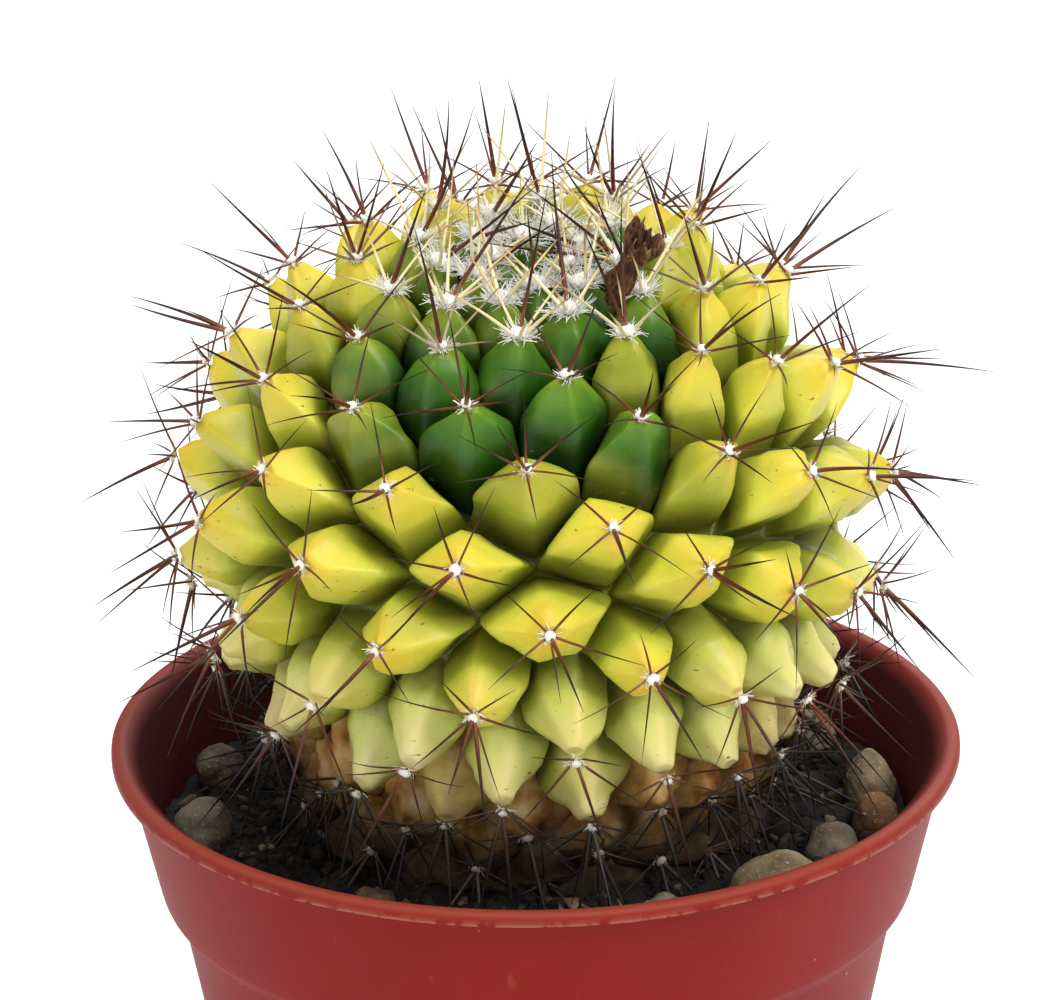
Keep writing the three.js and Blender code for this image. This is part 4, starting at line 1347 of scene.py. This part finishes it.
@dataclass
class Pot:
    """The moulded pot, turned about its axis: foot ring, tapered wall, stepped collar, thin rolled lip."""

    finish: MouldedPolypropylene
    height: float = 70 * MM
    rim_radius: float = 42.5 * MM
    mouth_radius: float = 41 * MM
    lip_height: float = 1.3 * MM
    collar_top: float = 41.1 * MM
    collar_foot: float = 38.2 * MM
    collar_height: float = 14.5 * MM
    step: float = 2.5 * MM
    shoulder: float = 36.3 * MM
    base_radius: float = 26.5 * MM
    wall: float = 1.4 * MM
    foot_height: float = 1.5 * MM
    foot_width: float = 2 * MM
    foot_round: float = 0.4 * MM
    lip_round: float = 0.25 * MM
    sides: int = 192
    wobble: float = 0.12 * MM
    drain_count: int = 4
    drain_radius: float = 1.9 * MM
    drain_pitch: float = 14 * MM

    def outline(self) -> list[tuple[float, float, float, float, float]]:
        """The turned profile from the middle of the underside round to the middle of the floor.

        Returns:
            Radius, height, painted rim highlight, flash and painted inner-wall shade traits of each profile
            point.
        """
        foot = self.height - self.collar_height
        shoulder = foot - self.step
        lip = self.height - self.lip_height
        floor = self.foot_height + self.wall
        inside = [(self.collar_top, lip), (self.collar_foot, foot), (self.shoulder, shoulder)]
        base_inner = mix(self.base_radius, self.shoulder, floor / shoulder) - self.wall
        foot_inner = self.base_radius - self.foot_width
        plain = (0.0, 0.0, 0.0)
        rim_highlight, seam, inner = (0.85, 0.0, 0.0), (0.0, 1.0, 0.0), (0.0, 0.0, 1.0)
        points = [(0.0, self.foot_height, *plain),
                  (foot_inner - 0.3 * MM, self.foot_height, *plain),
                  (foot_inner, self.foot_height - 0.3 * MM, *plain),
                  (foot_inner, 0.2 * MM, *plain),
                  (foot_inner + 0.2 * MM, 0.0, *plain),
                  (self.base_radius - self.foot_round, 0.0, *plain),
                  (self.base_radius, self.foot_round, *plain)]
        points += self.line((self.base_radius, self.foot_round), (self.shoulder, shoulder), 14, plain)
        points += self.bend((self.shoulder, shoulder), (self.collar_foot, foot), plain)
        points += self.line((self.collar_foot, foot), (self.collar_top, lip - self.lip_round), 8, plain)
        points += [(self.collar_top + 0.1 * MM, lip, *plain),
                   (self.rim_radius - self.lip_round, lip, *seam),
                   (self.rim_radius, lip + 0.12 * MM, *seam),
                   # Up to the mouth the edge trait rises over the rim top as a painted highlight.
                   (self.rim_radius, lip + 0.45 * MM, 0.1, 0.25, 0.0),
                   (self.rim_radius - 0.02 * MM, self.height - 0.42 * MM, 0.35, 0.0, 0.0),
                   (self.rim_radius - 0.2 * MM, self.height - 0.12 * MM, *rim_highlight),
                   (self.rim_radius - 0.5 * MM, self.height, *rim_highlight),
                   (self.mouth_radius + 0.4 * MM, self.height, 0.6, 0.0, 0.0),
                   (self.mouth_radius, self.height - 0.12 * MM, 0.5, 0.0, 0.3)]
        # The inner wall and floor carry the inner trait, which darkens them as painted shade.
        for radius, level in inside:
            points.append((radius - self.wall, level, *inner))
        points += [(base_inner, floor, *inner), (0.0, floor, *inner)]
        return points

    @staticmethod
    def line(start: tuple, end: tuple, count: int, traits: tuple) -> list[tuple]:
        """Profile points spaced evenly after start, up to end."""
        return [(mix(start[0], end[0], i / count), mix(start[1], end[1], i / count), *traits)
                for i in range(1, count + 1)]

    @staticmethod
    def bend(start: tuple, end: tuple, traits: tuple) -> list[tuple]:
        """Profile points of the soft step between the wall and the collar."""
        return [(mix(start[0], end[0], ease(t, 0, 1)), mix(start[1], end[1], t), *traits)
                for t in (0.2, 0.4, 0.6, 0.8, 1.0)]

    def build(self) -> bpy.types.Object:
        """Turns the profile, with the slight unevenness of a thin moulding, and opens the drain holes.

        Returns:
            The pot's mesh object.
        """
        points, rows, traits = [], [], []
        for radius, level, *marks in self.outline():
            pole = radius == 0
            row = []
            for i in range(1 if pole else self.sides):
                angle = math.tau * i / self.sides
                wave = math.sin(3 * angle + 1) + 0.5 * math.sin(7 * angle)
                uneven = self.wobble * wave * level / self.height
                reach = radius + (0 if pole else min(uneven, 0))
                row.append(len(points))
                points.append(Vector((reach * math.cos(angle), reach * math.sin(angle), level)))
                traits.append(marks)
            rows.append(row)
        mesh = smooth_mesh("pot_shell", points, ring_faces(rows))
        for place, label in enumerate(("edge", "flash", "inner")):
            layer = mesh.attributes.new(label, "FLOAT", "POINT")
            layer.data.foreach_set("value", [marks[place] for marks in traits])
        pot = place_mesh("pot_shell", mesh, self.finish.material())
        for i in range(self.drain_count):
            angle = math.tau * (i + 0.5) / self.drain_count
            bpy.ops.mesh.primitive_cylinder_add(
                vertices=32, radius=self.drain_radius, depth=4 * self.wall,
                location=(self.drain_pitch * math.cos(angle), self.drain_pitch * math.sin(angle),
                          self.foot_height + self.wall / 2))
            cutter = bpy.context.object
            cut = pot.modifiers.new("drain", "BOOLEAN")
            cut.operation, cut.object, cut.solver = "DIFFERENCE", cutter, "EXACT"
            graph = bpy.context.evaluated_depsgraph_get()
            opened = bpy.data.meshes.new_from_object(pot.evaluated_get(graph), depsgraph=graph)
            pot.modifiers.remove(cut)
            pot.data = opened
            bpy.data.objects.remove(cutter)
        return pot


# ---- Soil, grit and pebbles ------------------------------------------------------------------------


@dataclass
class Soil:
    """The soil as a shallow bed with an uneven top, and the crumbs, grit and bark bits on it."""

    finish: PottingSoil
    level: float = 60 * MM
    swell: float = 0.9 * MM
    rough: float = 0.8 * MM
    rough_width: float = 3 * MM
    floor: float = 3.2 * MM
    clearance: float = 0.3 * MM
    rings: int = 40
    sides: int = 128
    crumbs: int = 5200
    crumb_width: float = 0.75 * MM
    chips: int = 420
    chip_width: float = 1.7 * MM
    strewn_radius: float = 38 * MM
    strewn_depth: float = 3 * MM
    reach: float = 37.2 * MM

    def surface(self, x: float, y: float) -> float:
        """Height of the soil at a place, in metres."""
        u, v = x / MM, y / MM
        slow = math.sin(0.31 * u + 1.1) * math.cos(0.27 * v - 0.4)
        return self.level + self.swell * (slow + math.sin(0.63 * u - 0.51 * v) / 2)

    def bed(self, pot: Pot) -> bpy.types.Object:
        """Builds the bed.

        Args:
            pot: The pot it fills.

        Returns:
            The bed's mesh object.
        """
        foot = pot.height - pot.collar_height
        shoulder = foot - pot.step
        inset = pot.wall + self.clearance
        low = mix(pot.base_radius, pot.shoulder, self.floor / shoulder) - inset
        rise = (self.level - foot) / (pot.collar_height - pot.lip_height)
        edge = mix(pot.collar_foot, pot.collar_top, rise) - inset
        outline = [(low, self.floor), (pot.shoulder - inset, shoulder), (pot.collar_foot - inset, foot)]
        points = [Vector((0, 0, self.floor))]
        rows = [[0]]
        for radius, level in outline:
            rows.append(self.row(points, radius, level))
        for number in range(self.rings):
            rows.append(self.row(points, edge * (1 - number / self.rings), None))
        points.append(Vector((0, 0, self.surface(0, 0))))
        rows.append([len(points) - 1])
        mesh = smooth_mesh("soil_bed", points, ring_faces(rows))
        return place_mesh("soil_bed", mesh, self.finish.material())

    def row(self, points: list[Vector], radius: float, level: float | None) -> list[int]:
        """Adds one ring of the bed; without a level it lies on the rough surface.

        Args:
            points: The bed's points so far, which grow.
            radius: The ring's radius.
            level: Its height, or None.

        Returns:
            The numbers of its points.
        """
        numbers = []
        for i in range(self.sides):
            angle = math.tau * i / self.sides
            x, y = radius * math.cos(angle), radius * math.sin(angle)
            rough = self.rough * noise.fractal(Vector((x, y, 0)) / self.rough_width, 0.8, 2.1, 4)
            numbers.append(len(points))
            points.append(Vector((x, y, self.surface(x, y) + rough if level is None else level)))
        return numbers

    def grit_tree(self) -> GrowthTree:
        """Draws the tree that strews crumbs over the top of the bed.

        Returns:
            The tree.
        """
        tree = GrowthTree("grit_growth", {"Count Density": 1.0, "Width": self.crumb_width, "Seed": 5,
                                          "Level": self.level - self.strewn_depth, "Detail": 1,
                                          "Reach": self.reach})
        normal = tree.add("ShaderNodeSeparateXYZ", {0: tree.add("GeometryNodeInputNormal")}).outputs["Z"]
        place = tree.add("ShaderNodeSeparateXYZ", {0: tree.add("GeometryNodeInputPosition")}).outputs["Z"]
        above = tree.add("ShaderNodeMath", {0: place, 1: tree.size("Level")}, operation="GREATER_THAN")
        facing = tree.add("ShaderNodeMath", {0: normal, 1: 0.2}, operation="GREATER_THAN")
        top = tree.add("ShaderNodeMath", {0: above, 1: facing}, operation="MULTIPLY")
        flat = tree.add("ShaderNodeVectorMath", {0: tree.add("GeometryNodeInputPosition"),
                                                 1: (1.0, 1.0, 0.0)}, operation="MULTIPLY")
        away = tree.add("ShaderNodeVectorMath", {0: flat}, operation="LENGTH").outputs["Value"]
        within = tree.add("ShaderNodeMath", {0: away, 1: tree.size("Reach")}, operation="LESS_THAN")
        top = tree.add("ShaderNodeMath", {0: top, 1: within}, operation="MULTIPLY")
        strewn = tree.add("GeometryNodeDistributePointsOnFaces", {
            "Mesh": tree.size("Geometry"), "Selection": top, "Density": tree.size("Count Density"),
            "Seed": tree.size("Seed")})
        crumb = tree.add("GeometryNodeMeshIcoSphere", {"Radius": 0.5, "Subdivisions": tree.size("Detail")})
        wave = tree.add("ShaderNodeTexNoise", {"Scale": 2.1, "Detail": 1.0})
        lump = tree.add("ShaderNodeVectorMath", {0: wave.outputs["Color"], 1: (0.5, 0.5, 0.5)},
                        operation="SUBTRACT")
        lump = tree.add("ShaderNodeVectorMath", {0: lump, "Scale": 0.7}, operation="SCALE")
        crumb = tree.add("GeometryNodeSetPosition", {"Geometry": crumb, "Offset": lump})
        width = tree.size("Width")
        small = tree.add("FunctionNodeRandomValue", {"Min": 0.0, "Max": 1.0, "Seed": 1}, data_type="FLOAT")
        skewed = tree.add("ShaderNodeMath", {0: small, 1: 3.0}, operation="POWER")
        scale = tree.add("ShaderNodeMapRange", {"Value": skewed, "To Min": 0.5, "To Max": 2.6})
        scale = tree.add("ShaderNodeMath", {0: scale, 1: width}, operation="MULTIPLY")
        shape = tree.add("FunctionNodeRandomValue", {"Min": (0.7, 0.5, 0.4), "Max": (1.6, 1.0, 0.8),
                                                     "Seed": 2}, data_type="FLOAT_VECTOR")
        size = tree.add("ShaderNodeVectorMath", {0: shape, "Scale": scale}, operation="SCALE")
        spin = tree.add("FunctionNodeRandomValue", {"Min": (-0.6, -0.6, 0.0), "Max": (0.6, 0.6, math.tau),
                                                    "Seed": 3}, data_type="FLOAT_VECTOR")
        grown = tree.add("GeometryNodeInstanceOnPoints", {
            "Points": strewn.outputs["Points"], "Instance": crumb, "Rotation": spin, "Scale": size})
        tint = tree.add("FunctionNodeRandomValue", {"Min": 0.0, "Max": 1.0, "Seed": 4}, data_type="FLOAT")
        tint = tree.add("ShaderNodeMath", {0: tint, 1: 2.2}, operation="POWER")
        tinted = tree.add("GeometryNodeStoreNamedAttribute", {"Geometry": grown, "Name": "tint",
                                                              "Value": tint},
                          data_type="FLOAT", domain="INSTANCE")
        tree.finish(tinted)
        return tree

    def build(self, pot: Pot) -> list[bpy.types.Object]:
        """Builds the bed and strews its crumbs.

        Args:
            pot: The pot it fills.

        Returns:
            The bed, the grit and the gravel.
        """
        bed = self.bed(pot)
        area = math.pi * self.strewn_radius**2
        tree, material = self.grit_tree(), bed.data.materials[0]
        strewn = []
        for name, count, width, detail in (("soil_grit", self.crumbs, self.crumb_width, 1),
                                           ("soil_gravel", self.chips, self.chip_width, 2)):
            source = place_mesh(name + "_source", bed.data.copy(), None)
            strewn.append(tree.grow(source, name, material, Seed=5 * detail, Width=width, Detail=detail,
                                    Count_Density=count / area, Level=self.level - self.strewn_depth,
                                    Reach=self.reach - 2 * width))
        return [bed, *strewn]


@dataclass
class GravelStone:
    """One pebble, shaped to fill the box of its CAD node."""

    name: str
    node: str
    material: bpy.types.Material
    roughness: float = 0.16
    lump: float = 1.0

    def build(self, number: int) -> bpy.types.Object:
        """Builds the pebble.

        Args:
            number: Its number, which shifts the noise that shapes it.

        Returns:
            The pebble's mesh object.
        """
        low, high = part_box(self.node)
        middle, half = (low + high) / 2, (high - low) / 2
        bpy.ops.mesh.primitive_ico_sphere_add(subdivisions=5, radius=1.0)
        ball = bpy.context.object
        mesh = ball.data.copy()
        bpy.data.objects.remove(ball)
        for vertex in mesh.vertices:
            way = vertex.co.normalized()
            shift = Vector((7.3 * number, 0, 0))
            dent = noise.fractal(way * self.lump + shift, 1.0, 2.2, 5)
            vertex.co = way * (1 + self.roughness * dent)
        reach = [max(abs(v.co[k]) for v in mesh.vertices) for k in range(3)]
        for vertex in mesh.vertices:
            vertex.co = middle + Vector(vertex.co[k] / reach[k] * half[k] for k in range(3))
        mesh.shade_smooth()
        mesh.name = self.name
        return place_mesh(self.name, mesh, self.material)


@dataclass
class WitheredFlower:
    """The shrivelled flower at the crown: a creased tube that flares into curled, torn petals."""

    law: SpiralLaw
    finish: WitheredPetal
    azimuth: float = 52
    polar: float = 15
    tilt: float = 14
    sunk: float = 1.5 * MM
    length: float = 8.6 * MM
    radius: float = 1.15 * MM
    wall: float = 0.18 * MM
    thinnest: float = 0.25 * MM
    inner_foot: float = 0.4 * MM
    twist: float = 0.6
    crumple: float = 0.55
    fine_crumple: float = 0.2
    tear: float = 0.16
    sides: int = 96
    rings: int = 60

    def build(self) -> bpy.types.Object:
        """Builds the flower as a closed skin: up the outside, over the torn edge and down the inside.

        Returns:
            The flower's mesh object.
        """
        point, outward, _ = self.law.surface(self.polar, self.azimuth)
        tilt = math.radians(self.tilt)
        axis = (outward * math.cos(tilt) + Vector((1, 0, 0)) * math.sin(tilt)).normalized()
        right = Vector((0, 1, 0)).cross(axis).normalized()
        up = axis.cross(right)
        origin = point - outward * self.sunk
        points = [origin]
        rows = [[0]]
        for inside in (False, True):
            shares = [r / self.rings for r in range(1, self.rings + 1)]
            for share in reversed(shares) if inside else shares:
                row = []
                for i in range(self.sides):
                    angle = math.tau * i / self.sides
                    turned = angle + self.twist * share
                    row.append(len(points))
                    reach, rise = self.shape(share, angle)
                    reach -= self.wall if inside else 0
                    side = right * math.cos(turned) + up * math.sin(turned)
                    points.append(origin + side * reach + axis * rise)
                rows.append(row)
        points.append(origin + axis * self.inner_foot)
        rows.append([len(points) - 1])
        mesh = smooth_mesh("withered_petals", points, ring_faces(rows))
        return place_mesh("withered_petals", mesh, self.finish.material())

    def shape(self, share: float, angle: float) -> tuple[float, float]:
        """Radius and height of the flower at a share of its length and an angle.

        Args:
            share: 0 at the foot, 1 at the torn edge.
            angle: Angle round the flower.

        Returns:
            The radius and the height above the foot.
        """
        swollen, waist, mouth = ease(share, 0, 0.3), ease(share, 0.35, 0.55), ease(share, 0.6, 1)
        flare = 0.45 + 0.5 * swollen - 0.25 * waist + 0.75 * mouth
        crease = noise.noise(Vector((math.cos(angle) * 2.6, math.sin(angle) * 2.6, share * 2)))
        fine = noise.noise(Vector((math.cos(angle) * 7, math.sin(angle) * 7, share * 6)))
        torn = noise.noise(Vector((math.cos(angle) * 3, math.sin(angle) * 3, 9)))
        reach = self.radius * flare * (1 + self.crumple * crease + self.fine_crumple * fine)
        rise = self.length * share * (1 + self.tear * torn * ease(share, 0.5, 1))
        return max(reach, self.thinnest), rise


# ---- Studio ----------------------------------------------------------------------------------------


class LampRole(Enum):
    """What each studio lamp is for."""

    KEY = "key"
    FILL = "fill"
    RIM = "rim"
    TOP = "top"


@dataclass(frozen=True)
class SoftBox:
    """A square studio light that faces the plant."""

    role: LampRole
    place: tuple[float, float, float]
    size: float
    watts: float

    def build(self, target: Vector) -> bpy.types.Object:
        """Hangs the lamp so that it faces the target.

        Args:
            target: The point it lights.

        Returns:
            The lamp object.
        """
        data = bpy.data.lights.new(self.role.value, "AREA")
        data.shape, data.size, data.energy = "SQUARE", self.size, self.watts
        lamp = bpy.data.objects.new(self.role.value, data)
        lamp.location = self.place
        lamp.rotation_euler = (target - lamp.location).to_track_quat("-Z", "Y").to_euler()
        bpy.context.scene.collection.objects.link(lamp)
        return lamp


@dataclass
class Studio:
    """The floor, the pale surroundings, the lamps and the camera."""

    target: Vector = field(default_factory=lambda: Vector((-1.277, 0, 94.37)) * MM)
    distance: float = 400 * MM
    elevation: float = 20.46
    roll: float = -0.83
    lens: float = 141.35
    floor_size: float = 8.0
    surround: str = "ffffff"
    surround_strength: float = 0.42
    lamps: tuple[SoftBox, ...] = (
        SoftBox(LampRole.KEY, (0.5, -0.45, 0.75), 0.4, 6.0),
        SoftBox(LampRole.FILL, (-0.6, -0.6, 0.4), 0.8, 2.4),
        SoftBox(LampRole.RIM, (0.2, 0.8, 0.6), 0.6, 3.0),
        SoftBox(LampRole.TOP, (0.0, 0.0, 0.95), 0.5, 4.0),
    )

    def build(self) -> None:
        """Builds the studio round the plant."""
        bpy.ops.mesh.primitive_plane_add(size=self.floor_size)
        floor = bpy.context.object
        floor.name = "floor"
        floor.data.materials.append(PaleFloor().material())
        world = bpy.data.worlds.new("studio")
        bpy.context.scene.world = world
        world.use_nodes = True
        light = world.node_tree.nodes["Background"]
        light.inputs["Color"].default_value = linear(self.surround)
        light.inputs["Strength"].default_value = self.surround_strength
        for lamp in self.lamps:
            lamp.build(self.target)
        bpy.context.scene.view_settings.view_transform = "Standard"
        self.camera()

    def camera(self) -> None:
        """Sets up the camera, level but for its small roll."""
        rise = math.radians(self.elevation)
        back = Vector((0, -math.cos(rise), math.sin(rise)))
        turn = math.radians(self.roll)
        side, top = Vector((1, 0, 0)), Vector((0, math.sin(rise), math.cos(rise)))
        right = side * math.cos(turn) + top * math.sin(turn)
        up = top * math.cos(turn) - side * math.sin(turn)
        data = bpy.data.cameras.new("front")
        data.lens, data.sensor_width = self.lens, 36.0
        data.clip_start, data.clip_end = 0.01, 20.0
        camera = bpy.data.objects.new("front", data)
        axes = Matrix((right, up, back)).transposed().to_4x4()
        camera.matrix_world = Matrix.Translation(self.target + back * self.distance) @ axes
        bpy.context.scene.collection.objects.link(camera)
        bpy.context.scene.camera = camera


# ---- The whole plant -------------------------------------------------------------------------------


class PottedCactus:
    """Builds every visible piece, in order, and ties each to the part's body and nodes."""

    young_areoles: int = 40
    pebble_kinds: tuple[StoneKind, ...] = (
        StoneKind.FLINT, StoneKind.FLINT, StoneKind.LIMESTONE, StoneKind.SANDSTONE, StoneKind.CHERT,
        StoneKind.IRONSTONE, StoneKind.SANDSTONE, StoneKind.LIMESTONE, StoneKind.CHERT, StoneKind.SANDSTONE,
        StoneKind.FLINT, StoneKind.CHERT, StoneKind.LIMESTONE)

    def __init__(self) -> None:
        """Sets up the growth law that several pieces share."""
        self.law = SpiralLaw()
        self.pieces: list[bpy.types.Object] = []

    def keep(self, piece: bpy.types.Object, nodes: list[str]) -> None:
        """Ties a finished piece to the body and the CAD nodes it stands for.

        Args:
            piece: The piece.
            nodes: The CAD nodes it replaces, if any.
        """
        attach(piece, BODY)
        if nodes:
            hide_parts(*nodes)
        self.pieces.append(piece)
        LOG.info("%s: %d faces, stands for %d nodes", piece.name, len(piece.data.polygons), len(nodes))

    def build(self) -> None:
        """Builds the plant from the pot up."""
        pot = Pot(MouldedPolypropylene())
        self.keep(pot.build(), ["pot"])
        bed, grit, gravel = Soil(PottingSoil()).build(pot)
        self.keep(bed, ["soil"])
        self.keep(grit, [])
        self.keep(gravel, [])
        stones = {kind: Pebble(kind.name.lower(), *kind.value).material() for kind in StoneKind}
        for number, kind in enumerate(self.pebble_kinds, 1):
            node = f"pebble_{number:02d}"
            stone = GravelStone(f"gravel_{number:02d}", node, stones[kind])
            self.keep(stone.build(number), [node])
        self.keep(Stem(self.law, LivingSkin()).build(), ["stem"])
        self.keep(WitheredFlower(self.law, WitheredPetal()).build(), ["withered_flower"])
        self.spines()
        self.wool()

    def exposed(self, margin: float) -> list[Tubercle]:
        """The tubercles whose tips stand above the soil by more than a margin, the youngest first."""
        return [t for t in self.law.tubercles() if t.tip.z > self.law.soil_level + margin]

    def spines(self) -> None:
        """Builds the spines: the youngest areoles', then the older ones'."""
        armour = Armour(SpineHorn())
        horn = armour.finish.material()
        exposed = self.exposed(1.5 * MM)
        young, older = exposed[: self.young_areoles], exposed[self.young_areoles :]
        nodes = [f"areole_spines_{i:02d}" for i in range(1, self.young_areoles + 1)]
        self.keep(Bristles("crown_spines", armour.roots(young), horn).build(), nodes)
        self.keep(Bristles("side_spines", armour.roots(older), horn).build(), [])

    def wool(self) -> None:
        """Builds the felt and wool."""
        exposed = self.exposed(2 * MM)
        fibre = PlantWool().material()
        hairs = Bristles("plant_wool", Wool().roots(exposed), fibre, sides=3, steps=3, point_share=0.5)
        self.keep(hairs.build(), [])
        self.keep(FeltPads().build(exposed, fibre), [])


def main() -> None:
    """Loads the frame, builds the plant and the studio, and finishes."""
    logging.basicConfig(level=logging.INFO, format="%(name)s: %(message)s", stream=sys.stdout)
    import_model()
    PottedCactus().build()
    Studio().build()


if __name__ == "__main__":
    main()
